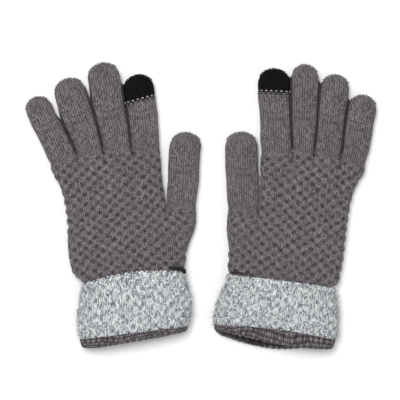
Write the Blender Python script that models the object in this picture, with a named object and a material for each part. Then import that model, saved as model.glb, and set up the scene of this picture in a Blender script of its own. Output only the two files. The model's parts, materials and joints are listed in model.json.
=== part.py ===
"""A pair of knitted touchscreen gloves, lying flat on their palms with the thumbs side by side.

Each glove is a knitted hand with a thumb gusset, four fingers and a thumb that bend at two
joints, a turned-up cuff held by a tack thread, a hem band at the fold and an elastic ring between
the two layers of the wrist. The index fingertips are knitted in conductive yarn.

Every glove is worked out in its own lay frame: u runs across the hand towards the thumb, v runs
from the hem towards the fingertips, and z is up. Lengths there are in millimetres. A lay is turned,
mirrored for the right hand, and set down in the world in metres.
"""
import math
from dataclasses import dataclass

import bmesh
import bpy
from mathutils import Vector

MM = 0.001

# Fabric and clearances
WALL = 2.0                 # thickness of one layer of knitting
CUFF_WALL = 2.2            # the cuff is knitted in thicker yarn
GAP = 0.3                  # between pieces that touch
JOINT_GAP = 0.5            # between the two sides of a bending joint
FINGER_GAP = 0.9           # between neighbouring fingers at the crotch
ELASTIC_THICKNESS = 0.8
ELASTIC_WIDTH = 6.0
ELASTIC_BELOW_EDGE = 9.0   # from the cuff's free edge down to the elastic
LAYER_SPACE = ELASTIC_THICKNESS + 2 * GAP

# Heights of the flattened tubes
HAND_HEIGHT = 13.0         # over the back of the hand
KNUCKLE_HEIGHT = 11.2      # at the knuckle line
WRIST_HEIGHT = 10.0        # of the hand layer inside the cuff
THUMB_BASE_HEIGHT = 11.6
THUMB_BASE_LIFT = 0.1      # the gusset's underside over the palm's
FINGER_HEIGHT = 10.6
LIFTED_LOW = CUFF_WALL + LAYER_SPACE
CUFF_HEIGHT = LIFTED_LOW + WRIST_HEIGHT + LAYER_SPACE + CUFF_WALL

# Joints
HINGE_HEIGHT = 3.0         # the fabric folds close to its palm side
KNUCKLE_LIMIT = 75.0
MIDDLE_LIMIT = 85.0
THUMB_KNUCKLE_LIMIT = 55.0
THUMB_MIDDLE_LIMIT = 75.0

# Ends
FINGERTIP_ROUND = 11.0     # length over which a fingertip closes
CLOSING_SHARES = (0.0, 0.30, 0.55, 0.76, 0.92)
WIDEN_LENGTH = 28.0        # length over which a finger reaches its full width
SQUARE_LENGTH = 10.0       # length over which its rings turn square to it
CUT_REACH = 60.0           # how far a trimming block reaches past its cut
SLIVER = 0.000002          # metres; what a Boolean leaves thinner than this is dropped

DARK_YARN = (0.128, 0.114, 0.127, 1.0)
TOUCH_YARN = (0.014, 0.013, 0.014, 1.0)
CUFF_YARN = (0.470, 0.497, 0.515, 1.0)
HEM_YARN = (0.165, 0.150, 0.165, 1.0)
ELASTIC_YARN = (0.30, 0.28, 0.30, 1.0)
TACK_YARN = (0.008, 0.008, 0.009, 1.0)


@dataclass(frozen=True)
class Digit:
    """One finger or thumb: where it starts, how it leans, and its sizes in millimetres."""
    name: str
    lean: float            # degrees towards the thumb side
    length: float          # from the knuckle line to the fingertip
    width: float           # widest flat width
    bend_at: float         # from the knuckle line to the middle joint
    knuckle_limit: float = KNUCKLE_LIMIT
    middle_limit: float = MIDDLE_LIMIT


@dataclass(frozen=True)
class Lay:
    """How one glove lies: its place, its outline and its digits."""
    name: str
    mirror: int            # +1 for the left hand, -1 for the right
    turn: float            # degrees
    place: tuple           # world millimetres of the lay frame's origin
    outline: tuple         # (v, outer side u, thumb side u) up the palm
    knuckles: tuple        # crotch points from the little finger's outer side to the index's
    fingers: tuple         # little, ring, middle, index
    thumb: Digit
    thumb_root: tuple      # middle of the thumb's knuckle line
    thumb_start: tuple     # outer and thumb side ends of the gusset's lowest rung
    thumb_bulge: float     # how far the gusset bows out
    cuff_top: tuple        # (v, outer side u, thumb side u) of the cuff's free edge
    cuff_middle: tuple
    cuff_bottom: tuple     # where the cuff meets the hem band
    hem_end: tuple
    edge_bow: float        # how far the middle of the free edge runs ahead of its ends
    end_bow: float         # the same at the hem's end
    tilt_per_lean: float   # tilt of a finger's joints for each degree it fans out
    touch_length: float    # of the conductive fingertip
    tack: tuple            # (thickness, share of the half width it starts at)


LEFT = Lay(
    name="left", mirror=1, turn=7.0, place=(-54.1, -104.5),
    outline=((62.0, -41.3, 49.3), (80.0, -41.7, 42.0), (99.0, -40.0, 38.3),
             (120.0, -40.8, 37.9), (150.0, -49.0, 39.0)),
    knuckles=((-47.4, 143.5), (-25.0, 147.4), (-4.7, 149.0), (17.4, 147.0), (38.9, 142.8)),
    fingers=(Digit("little", -19.5, 54.5, 20.0, 26.0), Digit("ring", -12.0, 61.5, 23.6, 29.0),
             Digit("middle", -4.0, 69.5, 24.0, 32.0), Digit("index", 0.5, 60.0, 22.8, 28.0)),
    thumb=Digit("thumb", 9.8, 57.5, 23.6, 29.0, THUMB_KNUCKLE_LIMIT, THUMB_MIDDLE_LIMIT),
    thumb_root=(49.9, 99.0), thumb_start=((18.0, 64.5), (45.5, 60.5)), thumb_bulge=3.6,
    cuff_top=(47.0, -34.5, 46.2), cuff_middle=(24.0, -40.8, 49.0),
    cuff_bottom=(6.0, -41.3, 44.5), hem_end=(1.2, -40.4, 42.2),
    edge_bow=4.6, end_bow=-2.2, tilt_per_lean=1.0,
    touch_length=20.0, tack=(2.6, 0.70))

RIGHT = Lay(
    name="right", mirror=-1, turn=-7.0, place=(56.7, -105.3),
    outline=((62.0, -44.9, 44.2), (80.0, -45.1, 34.0), (99.0, -45.0, 24.6),
             (120.0, -46.4, 26.6), (150.0, -55.0, 28.8)),
    knuckles=((-53.3, 143.7), (-33.7, 146.8), (-12.6, 149.1), (4.1, 147.9), (28.4, 143.2)),
    fingers=(Digit("little", -3.0, 53.5, 21.4, 26.0), Digit("ring", 0.6, 64.0, 21.2, 29.0),
             Digit("middle", 5.8, 68.6, 20.2, 32.0), Digit("index", 9.6, 66.0, 23.4, 29.0)),
    thumb=Digit("thumb", 8.9, 60.0, 24.4, 30.0, THUMB_KNUCKLE_LIMIT, THUMB_MIDDLE_LIMIT),
    thumb_root=(37.0, 99.0), thumb_start=((6.0, 64.5), (41.0, 60.5)), thumb_bulge=2.6,
    cuff_top=(46.2, -42.0, 42.9), cuff_middle=(22.0, -47.3, 49.4),
    cuff_bottom=(7.0, -47.0, 49.0), hem_end=(2.6, -45.6, 46.0),
    edge_bow=0.8, end_bow=-6.4, tilt_per_lean=2.2,
    touch_length=19.0, tack=(1.6, 0.45))


def blend(start, end, share):
    """Value a share of the way from start to end."""
    return start + (end - start) * share


def ease(share):
    """Smooth step from 0 to 1."""
    share = min(max(share, 0.0), 1.0)
    return share * share * (3.0 - 2.0 * share)


# ---------------------------------------------------------------- cross-sections and rungs

@dataclass(frozen=True)
class Tube:
    """The cross-section that a flattened tube keeps along its length."""
    edge_run: float        # how far each rounded edge reaches in over the top
    crown: float           # how far the middle stands over the shoulders
    plateau: int           # segments across the middle of the top
    edge_steps: int = 4
    under_steps: int = 2
    side_share: float = 0.42   # height of the widest level


FINGER_TUBE = Tube(edge_run=1000.0, crown=0.0, plateau=0)
HAND_TUBE = Tube(edge_run=17.0, crown=1.0, plateau=4)


def section(tube, half, low, high, inset=0.0):
    """Points (s, z) once around a flattened tube, from the thumb side over the top.

    The underside is flat, the lower edges are quarter ellipses, and the top is a rounded edge on
    each side with a slightly crowned plateau between. An inset moves every wall inwards.
    """
    height = high - low
    side = low + tube.side_share * height
    run = min(tube.edge_run, half) - inset
    under_run = min(0.5 * height, 0.8 * half) - inset
    half, low, high = half - inset, low + inset, high - inset
    shoulder = high - tube.crown
    right = []
    for step in range(tube.edge_steps):
        angle = 0.5 * math.pi * step / tube.edge_steps
        rise = math.sin(angle) ** 0.8
        right.append((half - run + run * math.cos(angle) ** 0.8, blend(side, shoulder, rise)))
    top = []
    flat = half - run
    for step in range(tube.plateau + 1):
        share = step / tube.plateau if tube.plateau else 0.5
        position = 2.0 * share - 1.0
        top.append((-flat * position, shoulder + tube.crown * (1.0 - position * position)))
    under = []
    for step in range(1, tube.under_steps + 1):
        angle = 0.5 * math.pi * step / tube.under_steps
        under.append((half - under_run + under_run * math.cos(angle),
                      side - (side - low) * math.sin(angle)))
    left_top = [(-s, z) for s, z in reversed(right)]
    left_under = [(-s, z) for s, z in under]
    return right + top + left_top + left_under + [(0.0, low)] + list(reversed(under))


@dataclass(frozen=True)
class Rung:
    """One station of a loft: two edge points in the plane, the height range, and a bow.

    The bow is how far the middle of the cuff's upper side runs ahead of its edges; layers that
    meet share it, so it is shaped by the cuff's own half width and height.
    """
    outer: tuple
    inner: tuple
    low: float
    high: float
    bow: float = 0.0
    bow_half: float = 1.0   # where the bow has died away, from the middle


def rung_points(rung, tube, inset=0.0):
    """The section's points at a rung, in lay millimetres."""
    outer, inner = Vector(rung.outer), Vector(rung.inner)
    middle, across = (outer + inner) / 2, (inner - outer)
    half = across.length / 2
    across.normalize()
    ahead = Vector((-across.y, across.x))
    points = []
    for s, z in section(tube, half, rung.low, rung.high, inset):
        lead = rung.bow * z / CUFF_HEIGHT * (1.0 - (s / rung.bow_half) ** 2)
        flat = middle + across * s + ahead * lead
        points.append(Vector((flat.x, flat.y, z)))
    return points


# ---------------------------------------------------------------- meshes

def bridge(mesh, first, second):
    """Faces between two rings of vertices of equal count."""
    count = len(first)
    for index in range(count):
        follow = (index + 1) % count
        mesh.faces.new((first[index], first[follow], second[follow], second[index]))


def add_rings(mesh, rings):
    """Rings of vertices from lists of points, bridged in order."""
    made = [[mesh.verts.new(point) for point in ring] for ring in rings]
    for first, second in zip(made, made[1:]):
        bridge(mesh, first, second)
    return made


def open_tube(outer_rings, inner_rings):
    """A tube that is open at both ends."""
    mesh = bmesh.new()
    outside = add_rings(mesh, outer_rings)
    inside = add_rings(mesh, inner_rings)
    bridge(mesh, outside[0], inside[0])
    bridge(mesh, outside[-1], inside[-1])
    return mesh


def capped_tube(outer_rings, inner_rings):
    """A tube that is open at its first ring and closed at its last."""
    mesh = bmesh.new()
    outside = add_rings(mesh, outer_rings)
    inside = add_rings(mesh, inner_rings)
    bridge(mesh, outside[0], inside[0])
    mesh.faces.new(outside[-1])
    mesh.faces.new(inside[-1])
    return mesh


def solid_loft(rings):
    """A loft that is closed at both ends."""
    mesh = bmesh.new()
    made = add_rings(mesh, rings)
    mesh.faces.new(made[0])
    mesh.faces.new(made[-1])
    return mesh


def make_material(name, colour, roughness):
    """A matt yarn."""
    material = bpy.data.materials.get(name) or bpy.data.materials.new(name)
    material.use_nodes = True
    material.diffuse_color = colour
    shader = material.node_tree.nodes["Principled BSDF"]
    shader.inputs["Base Color"].default_value = colour
    shader.inputs["Roughness"].default_value = roughness
    shader.inputs["Metallic"].default_value = 0.0
    return material


def make_object(name, mesh, lay, pivot, material):
    """An object with its origin at a pivot, from a bmesh in lay millimetres."""
    if lay.mirror < 0:
        for vertex in mesh.verts:
            vertex.co.x = -vertex.co.x
    bmesh.ops.recalc_face_normals(mesh, faces=mesh.faces)
    turn = math.radians(lay.turn)
    cosine, sine = math.cos(turn), math.sin(turn)
    origin = to_world(lay, pivot)
    for vertex in mesh.verts:
        x, y, z = vertex.co
        place = Vector((lay.place[0] + x * cosine - y * sine,
                        lay.place[1] + x * sine + y * cosine, z)) * MM
        vertex.co = place - origin
    data = bpy.data.meshes.new(name)
    mesh.to_mesh(data)
    mesh.free()
    data.shade_smooth()
    data.set_sharp_from_angle(angle=math.radians(40.0))
    data.materials.append(material)
    made = bpy.data.objects.new(name, data)
    made.location = origin
    bpy.context.scene.collection.objects.link(made)
    return made


def to_world(lay, point):
    """World metres of a point in lay millimetres."""
    turn = math.radians(lay.turn)
    u, v, z = lay.mirror * point[0], point[1], point[2]
    return Vector((lay.place[0] + u * math.cos(turn) - v * math.sin(turn),
                   lay.place[1] + u * math.sin(turn) + v * math.cos(turn), z)) * MM


def hang_on(child, parent):
    """Parent an object to another and keep where it stands."""
    child.location = child.location - world_origin(parent)
    child.parent = parent


def world_origin(thing):
    """World place of an object whose parents are only moved."""
    place = Vector(thing.location)
    while thing.parent:
        thing = thing.parent
        place += thing.location
    return place


def cut(target, tool, operation):
    """Apply a Boolean to the target and remove the tool.

    The manifold solver stays closed where the thin walls at a port meet a block's side; the exact
    solver leaves doubled faces there.
    """
    tool.hide_render = True
    tool.display_type = "WIRE"
    modifier = target.modifiers.new("cut", "BOOLEAN")
    modifier.operation = operation
    modifier.solver = "MANIFOLD"
    modifier.object = tool
    shaped = bpy.data.meshes.new_from_object(
        target.evaluated_get(bpy.context.evaluated_depsgraph_get()))
    target.modifiers.clear()
    former = target.data
    target.data = shaped
    shaped.name = former.name
    bpy.data.meshes.remove(former)
    bpy.data.objects.remove(tool)


def tidy_faces(target):
    """Split a cut mesh's faces into triangles and drop the ones with no area."""
    mesh = bmesh.new()
    mesh.from_mesh(target.data)
    bmesh.ops.remove_doubles(mesh, verts=mesh.verts, dist=SLIVER)
    bmesh.ops.dissolve_degenerate(mesh, edges=mesh.edges, dist=SLIVER)
    bmesh.ops.triangulate(mesh, faces=mesh.faces)
    mesh.to_mesh(target.data)
    mesh.free()


# ---------------------------------------------------------------- joints

@dataclass(frozen=True)
class Hinge:
    """A joint across a flattened tube: its pivot, its axis and the direction past it."""
    pivot: Vector          # lay millimetres
    across: Vector         # in the plane, towards the thumb side
    tilt: float            # degrees out of the plane, up towards the thumb side
    limit: float           # degrees
    half: float

    @property
    def axis(self):
        """Turning about this by the right-hand rule bends towards the palm on a left glove."""
        tilt = math.radians(self.tilt)
        return -(self.across * math.cos(tilt) + Vector((0, 0, math.sin(tilt))))

    @property
    def ahead(self):
        """Level direction across the joint's plane, towards the fingertip."""
        return Vector((-self.across.y, self.across.x, 0.0))

    def relief(self, s, z):
        """How far an end stands back from the joint's plane, so that both can fold together."""
        tilt = math.radians(self.tilt)
        under = (self.pivot.z + s * math.tan(tilt) - z) * math.cos(tilt)
        return JOINT_GAP / 2 + max(0.0, under) * math.tan(math.radians(self.limit) / 2)


def knuckle_hinge(lay, index):
    """The hinge at the root of finger number index."""
    low, high = Vector(lay.knuckles[index]), Vector(lay.knuckles[index + 1])
    middle, across = (low + high) / 2, (high - low)
    half = (across.length - FINGER_GAP) / 2
    digit = lay.fingers[index]
    tilt = lay.tilt_per_lean * (digit.lean - lay.fingers[2].lean)
    return Hinge(Vector((middle.x, middle.y, HINGE_HEIGHT)), across.normalized().to_3d(),
                 tilt, digit.knuckle_limit, half)


def thumb_hinge(lay):
    """The hinge at the root of the thumb."""
    lean = math.radians(lay.thumb.lean)
    across = Vector((math.cos(lean), -math.sin(lean), 0.0))
    return Hinge(Vector((*lay.thumb_root, HINGE_HEIGHT)), across, 0.0,
                 lay.thumb.knuckle_limit, (lay.thumb.width - FINGER_GAP) / 2)


def direction(digit):
    """Level unit vector along a digit."""
    lean = math.radians(digit.lean)
    return Vector((math.sin(lean), math.cos(lean), 0.0))


def middle_hinge(digit, root):
    """The hinge part way along a digit."""
    along = direction(digit)
    pivot = root.pivot + along * digit.bend_at
    across = Vector((along.y, -along.x, 0.0))
    return Hinge(pivot, across, root.tilt, digit.middle_limit, digit.width / 2)


# ---------------------------------------------------------------- digits

def station(digit, root, distance, inset=0.0):
    """Rung of a digit's outer skin, or of its inner skin a wall further in."""
    along = direction(digit)
    square = Vector((along.y, -along.x, 0.0))
    turned = ease(distance / SQUARE_LENGTH)
    across = (root.across * (1.0 - turned) + square * turned).normalized()
    half = blend(root.half, digit.width / 2, ease(distance / WIDEN_LENGTH)) - inset
    height = blend(KNUCKLE_HEIGHT, FINGER_HEIGHT, turned)
    side = FINGER_TUBE.side_share * FINGER_HEIGHT
    closing = distance - (digit.length - FINGERTIP_ROUND)
    share = max(0.0, closing) / (FINGERTIP_ROUND - inset)
    shut = math.sqrt(1.0 - min(share, 1.0) ** 2)
    centre = root.pivot + along * distance
    outer, inner = centre - across * half * shut, centre + across * half * shut
    squeeze = shut ** 0.6
    return Rung((outer.x, outer.y), (inner.x, inner.y),
                blend(side, inset, squeeze), blend(side, height - inset, squeeze))


def end_ring(rung, hinge, along, sense):
    """The ring at a joint: in the joint's plane, standing back by the relief."""
    ring = []
    for point in rung_points(rung, FINGER_TUBE):
        s = (point - hinge.pivot).dot(hinge.across)
        off = (point - hinge.pivot).dot(hinge.ahead)
        reach = (sense * hinge.relief(s, point.z) - off) / along.dot(hinge.ahead)
        ring.append(point + along * reach)
    return ring


def segment(digit, root, near, far, distances, inset=0.0):
    """Rings of the part of a digit between two joints, or from a joint onwards."""
    along = direction(digit)
    rings = [rung_points(station(digit, root, distance, inset), FINGER_TUBE)
             for distance in distances]
    for hinge, sense, place in ((near, 1.0, 0), (far, -1.0, len(rings) + 1)):
        if hinge is not None:
            at = (hinge.pivot - root.pivot).dot(along)
            rings.insert(place, end_ring(station(digit, root, at, inset), hinge, along, sense))
    return rings


def fingertip(digit, root, near, start):
    """A fingertip that closes over its last stretch, open where it starts."""
    begin = digit.length - FINGERTIP_ROUND
    skins = []
    for inset in (0.0, WALL):
        closing = [begin + (FINGERTIP_ROUND - inset) * math.sin(math.pi / 2 * share)
                   for share in CLOSING_SHARES]
        skins.append(segment(digit, root, near, None, [start] + closing, inset))
    return capped_tube(*skins)


def build_digit(lay, digit, root, materials, parent):
    """The near and far pieces of a digit, the far ones hung on the near one."""
    bend = middle_hinge(digit, root)
    near_skins = [segment(digit, root, root, bend, [9.0, digit.bend_at - 7.0], inset)
                  for inset in (0.0, WALL)]
    base = make_object(f"{lay.name}_{digit.name}_base", open_tube(*near_skins), lay, root.pivot,
                       materials["dark"])
    hang_on(base, parent)
    if digit.name == "index":
        join = digit.length - lay.touch_length
        middle = [segment(digit, root, bend, None, [join - GAP / 2], inset)
                  for inset in (0.0, WALL)]
        far = (("middle", open_tube(*middle), "dark"),
               ("touch_tip", fingertip(digit, root, None, join + GAP / 2), "touch"))
    else:
        far = (("tip", fingertip(digit, root, bend, digit.bend_at + 8.0), "dark"),)
    for suffix, mesh, yarn in far:
        piece = make_object(f"{lay.name}_{digit.name}_{suffix}", mesh, lay, bend.pivot,
                            materials[yarn])
        hang_on(piece, base)


# ---------------------------------------------------------------- hand and cuff

def hand_rungs(lay):
    """Rungs of the knitted hand, from the hem band through the cuff and up the palm."""
    inside = LIFTED_LOW
    top_v, top_outer, top_inner = lay.cuff_top
    mid_v, mid_outer, mid_inner = lay.cuff_middle
    low_v, low_outer, low_inner = lay.cuff_bottom
    wrist_high = LIFTED_LOW + WRIST_HEIGHT
    rungs = [
        Rung((low_outer + inside, low_v + GAP), (low_inner - inside, low_v + GAP),
             LIFTED_LOW, wrist_high),
        Rung((mid_outer + inside, mid_v), (mid_inner - inside, mid_v), LIFTED_LOW, wrist_high),
        Rung((top_outer + inside, top_v - 1.0), (top_inner - inside, top_v - 1.0),
             LIFTED_LOW, wrist_high),
        Rung((top_outer - 1.5, top_v + 4.5), (top_inner + 0.3, top_v + 4.5),
             LIFTED_LOW - 0.9, HAND_HEIGHT),
    ]
    first_v, first_outer, first_inner = lay.outline[0]
    rungs.append(Rung((blend(top_outer, first_outer, 0.85), blend(top_v, first_v, 0.68)),
                      (blend(top_inner, first_inner, 0.70), blend(top_v, first_v, 0.68)),
                      0.0, HAND_HEIGHT))
    for v, outer, inner in lay.outline:
        high = blend(HAND_HEIGHT, KNUCKLE_HEIGHT, ease((v - 90.0) / 50.0))
        rungs.append(Rung((outer, v), (inner, v), 0.0, high))
    return rungs


def thumb_base_rungs(lay):
    """Rungs of the thumb gusset, from inside the palm to past the thumb's knuckle line."""
    root = thumb_hinge(lay)
    port_outer = (root.pivot - root.across * root.half).to_2d()
    port_inner = (root.pivot + root.across * root.half).to_2d()
    start_outer, start_inner = (Vector(end) for end in lay.thumb_start)
    low, high = THUMB_BASE_LIFT, THUMB_BASE_HEIGHT
    rungs = []
    for share in (0.0, 0.25, 0.5, 0.75, 1.0, 1.12):
        bulge = lay.thumb_bulge * 4.0 * share * (1.0 - share)
        outer = start_outer.lerp(port_outer, share)
        inner = start_inner.lerp(port_inner, share) + Vector((bulge, 0.0))
        rungs.append(Rung((outer.x, outer.y), (inner.x, inner.y), low, high))
    return rungs


def trimming_block(lay, hinge, outer_margin, inner_margin):
    """A block that removes what lies past a joint's plane, with the fold's relief under it."""
    tilt = math.radians(hinge.tilt)
    along_axis = hinge.across * math.cos(tilt) + Vector((0, 0, math.sin(tilt)))
    up = along_axis.cross(hinge.ahead)
    back = JOINT_GAP / 2
    depth = CUT_REACH / 2
    slope = math.tan(math.radians(hinge.limit) / 2)
    profile = ((-back, depth), (-back, 0.0), (-back - depth * slope, -depth),
               (CUT_REACH, -depth), (CUT_REACH, depth))
    ends = []
    for s in (-(hinge.half + outer_margin), hinge.half + inner_margin):
        ends.append([hinge.pivot + along_axis * s + hinge.ahead * forward + up * rise
                     for forward, rise in profile])
    return make_object("trim", solid_loft(ends), lay, (0.0, 0.0, 0.0), None)


def build_hand(lay, materials, parent):
    """The knitted hand: palm and gusset joined, hollow, open at the wrist and at each digit."""
    origin = (0.0, 0.0, 0.0)
    rungs, gusset = hand_rungs(lay), thumb_base_rungs(lay)
    hand = make_object(f"{lay.name}_hand_shell",
                       solid_loft([rung_points(rung, HAND_TUBE) for rung in rungs]), lay,
                       origin, materials["dark"])
    gusset_outer = make_object("gusset", solid_loft([rung_points(rung, FINGER_TUBE)
                                                     for rung in gusset]), lay, origin, None)
    cut(hand, gusset_outer, "UNION")
    hollow = [rung_points(rung, HAND_TUBE, WALL) for rung in rungs]
    past = Vector((0.0, CUT_REACH / 4, 0.0))
    below = [point - past for point in hollow[0]]
    above = [point + past for point in hollow[-1]]
    cut(hand, make_object("hollow", solid_loft([below] + hollow + [above]), lay, origin, None),
        "DIFFERENCE")
    gusset_hollow = [rung_points(rung, FINGER_TUBE, WALL) for rung in gusset]
    along = direction(lay.thumb)
    beyond = [point + along * CUT_REACH / 4 for point in gusset_hollow[-1]]
    cut(hand, make_object("hollow", solid_loft(gusset_hollow + [beyond]), lay, origin, None),
        "DIFFERENCE")
    for index in range(len(lay.fingers)):
        outer_margin = 12.0 if index == 0 else FINGER_GAP
        inner_margin = 12.0 if index == len(lay.fingers) - 1 else FINGER_GAP
        cut(hand, trimming_block(lay, knuckle_hinge(lay, index), outer_margin, inner_margin),
            "DIFFERENCE")
    cut(hand, trimming_block(lay, thumb_hinge(lay), FINGER_GAP / 2, 12.0), "DIFFERENCE")
    tidy_faces(hand)
    hang_on(hand, parent)
    return hand


def cuff_rungs(lay):
    """Rungs of the turned-up cuff from the hem band to its free edge."""
    levels = ((lay.cuff_bottom, GAP, 0.0), (lay.cuff_middle, 0.0, 0.0),
              (lay.cuff_top, 0.0, lay.edge_bow))
    return [Rung((outer, v + shift), (inner, v + shift), 0.0, CUFF_HEIGHT, bow,
                 (inner - outer) / 2) for (v, outer, inner), shift, bow in levels]


def build_cuff(lay, materials, parent):
    """The turned-up cuff."""
    rungs = cuff_rungs(lay)
    tube = open_tube([rung_points(rung, HAND_TUBE) for rung in rungs],
                     [rung_points(rung, HAND_TUBE, CUFF_WALL) for rung in rungs])
    cuff = make_object(f"{lay.name}_cuff", tube, lay, (0.0, 0.0, 0.0), materials["cuff"])
    hang_on(cuff, parent)
    return cuff


def build_hem(lay, materials, parent):
    """The band at the fold, as thick as both layers and the space between them."""
    v, outer, inner = lay.cuff_bottom
    end_v, end_outer, end_inner = lay.hem_end
    thickness = CUFF_WALL + LAYER_SPACE + WALL
    rungs = [Rung((end_outer, end_v), (end_inner, end_v), 0.0, CUFF_HEIGHT, lay.end_bow,
                  (end_inner - end_outer) / 2),
             Rung((outer, v), (inner, v), 0.0, CUFF_HEIGHT)]
    tube = open_tube([rung_points(rung, HAND_TUBE) for rung in rungs],
                     [rung_points(rung, HAND_TUBE, thickness) for rung in rungs])
    hem = make_object(f"{lay.name}_hem_band", tube, lay, (0.0, 0.0, 0.0), materials["hem"])
    hang_on(hem, parent)
    return hem


def build_elastic(lay, materials, parent):
    """The ring of elastic between the hand and the cuff."""
    top_v, top_outer, top_inner = lay.cuff_top
    mid_v, mid_outer, mid_inner = lay.cuff_middle
    rungs = []
    for below in (ELASTIC_BELOW_EDGE + ELASTIC_WIDTH, ELASTIC_BELOW_EDGE):
        share = below / (top_v - mid_v)
        v = top_v - below
        rungs.append(Rung((blend(top_outer, mid_outer, share), v),
                          (blend(top_inner, mid_inner, share), v), 0.0, CUFF_HEIGHT))
    near, far = CUFF_WALL + GAP, CUFF_WALL + GAP + ELASTIC_THICKNESS
    tube = open_tube([rung_points(rung, HAND_TUBE, near) for rung in rungs],
                     [rung_points(rung, HAND_TUBE, far) for rung in rungs])
    ring = make_object(f"{lay.name}_wrist_elastic", tube, lay, (0.0, 0.0, 0.0),
                       materials["elastic"])
    hang_on(ring, parent)
    return ring


def build_tack(lay, materials, parent):
    """The short thread that tacks the cuff to the hand, lying along the cuff's free edge."""
    thickness, start = lay.tack
    radius = thickness / 2
    v, outer, inner = lay.cuff_top
    middle, half = (outer + inner) / 2, (inner - outer) / 2
    base_v = v + radius + 1.6
    path = []
    for step in range(6):
        share = blend(start, 1.0, step / 5)
        rim = lay.edge_bow * (1.0 - share * share)
        drop = (HAND_HEIGHT * 0.36) * max(0.0, (share - 0.62) / 0.38) ** 2.2
        path.append(Vector((middle + half * share, base_v + rim,
                            HAND_HEIGHT + radius + GAP + 0.4 - drop)))
    rings = []
    for index, point in enumerate(path):
        before, after = path[max(index - 1, 0)], path[min(index + 1, len(path) - 1)]
        along = (after - before).normalized()
        side = along.cross(Vector((0, 0, 1))).normalized()
        up = side.cross(along)
        thin = radius * (0.55 if index in (0, len(path) - 1) else 1.0)
        rings.append([point + side * thin * math.cos(2 * math.pi * turn / 8)
                      + up * thin * math.sin(2 * math.pi * turn / 8) for turn in range(8)])
    tack = make_object(f"{lay.name}_tack_thread", solid_loft(rings), lay, tuple(path[0]),
                       materials["tack"])
    hang_on(tack, parent)
    return tack


# ---------------------------------------------------------------- the pair

def make_yarns():
    """One material for each yarn."""
    return {
        "dark": make_material("dark_grey_knit", DARK_YARN, 0.92),
        "touch": make_material("conductive_knit", TOUCH_YARN, 0.90),
        "cuff": make_material("light_marl_knit", CUFF_YARN, 0.92),
        "hem": make_material("grey_hem_knit", HEM_YARN, 0.92),
        "elastic": make_material("covered_elastic", ELASTIC_YARN, 0.80),
        "tack": make_material("black_thread", TACK_YARN, 0.70),
    }


def build_glove(lay, materials):
    """Every piece of one glove, hung on an empty at its wrist."""
    wrist = bpy.data.objects.new(f"{lay.name}_glove", None)
    wrist.location = to_world(lay, (0.0, 0.0, 0.0))
    bpy.context.scene.collection.objects.link(wrist)
    build_hand(lay, materials, wrist)
    build_cuff(lay, materials, wrist)
    build_hem(lay, materials, wrist)
    build_elastic(lay, materials, wrist)
    build_tack(lay, materials, wrist)
    for index, digit in enumerate(lay.fingers):
        build_digit(lay, digit, knuckle_hinge(lay, index), materials, wrist)
    build_digit(lay, lay.thumb, thumb_hinge(lay), materials, wrist)
    return wrist


def centre_pair(wrists):
    """Move the gloves so that the pair's box stands on the origin, centred over it."""
    bpy.context.view_layer.update()
    corners = [thing.matrix_world @ vertex.co for thing in bpy.data.objects
               if thing.type == "MESH" for vertex in thing.data.vertices]
    low = Vector(min(corner[axis] for corner in corners) for axis in range(3))
    high = Vector(max(corner[axis] for corner in corners) for axis in range(3))
    shift = Vector((-(low.x + high.x) / 2, -(low.y + high.y) / 2, -low.z))
    for wrist in wrists:
        wrist.location += shift
    bpy.context.view_layer.update()
    return shift


def main():
    """Clear the scene and build the pair."""
    for thing in list(bpy.data.objects):
        bpy.data.objects.remove(thing)
    yarns = make_yarns()
    wrists = [build_glove(lay, yarns) for lay in (LEFT, RIGHT)]
    return centre_pair(wrists)


main()
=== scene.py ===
"""Looks for a pair of knitted touchscreen gloves lying flat on their palms.

Each glove is worked out in its own lay frame in millimetres: u runs across the hand towards the
thumb, v runs from the hem towards the fingertips, and z is up. A Lay holds one glove's sizes and
sets its points down in the world. Knitted surfaces are grids of points that carry two stitch
coordinates, the wale (a column of stitches) and the course (a row of stitches), so that relief and
colour follow the knitting.
"""
import json
import logging
import math
from dataclasses import dataclass, field
from enum import Enum
from typing import Callable

import bmesh
import bpy
import numpy as np
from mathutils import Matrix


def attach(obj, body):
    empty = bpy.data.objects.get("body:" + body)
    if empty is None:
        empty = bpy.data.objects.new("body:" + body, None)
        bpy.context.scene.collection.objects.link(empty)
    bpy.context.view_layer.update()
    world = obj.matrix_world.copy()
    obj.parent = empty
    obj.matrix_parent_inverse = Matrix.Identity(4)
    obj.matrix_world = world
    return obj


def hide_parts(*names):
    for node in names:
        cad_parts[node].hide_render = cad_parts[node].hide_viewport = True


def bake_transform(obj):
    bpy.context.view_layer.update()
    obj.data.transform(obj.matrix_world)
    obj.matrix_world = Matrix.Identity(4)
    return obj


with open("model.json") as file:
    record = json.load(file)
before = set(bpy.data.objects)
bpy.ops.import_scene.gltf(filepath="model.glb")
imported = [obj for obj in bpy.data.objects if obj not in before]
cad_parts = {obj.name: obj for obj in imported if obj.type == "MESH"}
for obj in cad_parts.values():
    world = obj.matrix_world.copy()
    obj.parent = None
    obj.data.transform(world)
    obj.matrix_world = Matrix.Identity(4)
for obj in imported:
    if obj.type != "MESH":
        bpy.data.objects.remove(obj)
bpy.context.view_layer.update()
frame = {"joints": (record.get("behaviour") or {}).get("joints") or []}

LOG = logging.getLogger("gloves")
MM = 0.001

# Stitches, in mm
STITCH_WIDTH = 1.56            # across one wale of the hand
STITCH_HEIGHT = 1.30           # along one course
BLOCK = 3                      # stitches to a side of one basket block
FINGER_STITCH = 1.80           # across one wale of a finger; a fifth coarser than knitted,
FINGER_COURSE = 1.50           # and one course of it, so that the stitches still show

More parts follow.
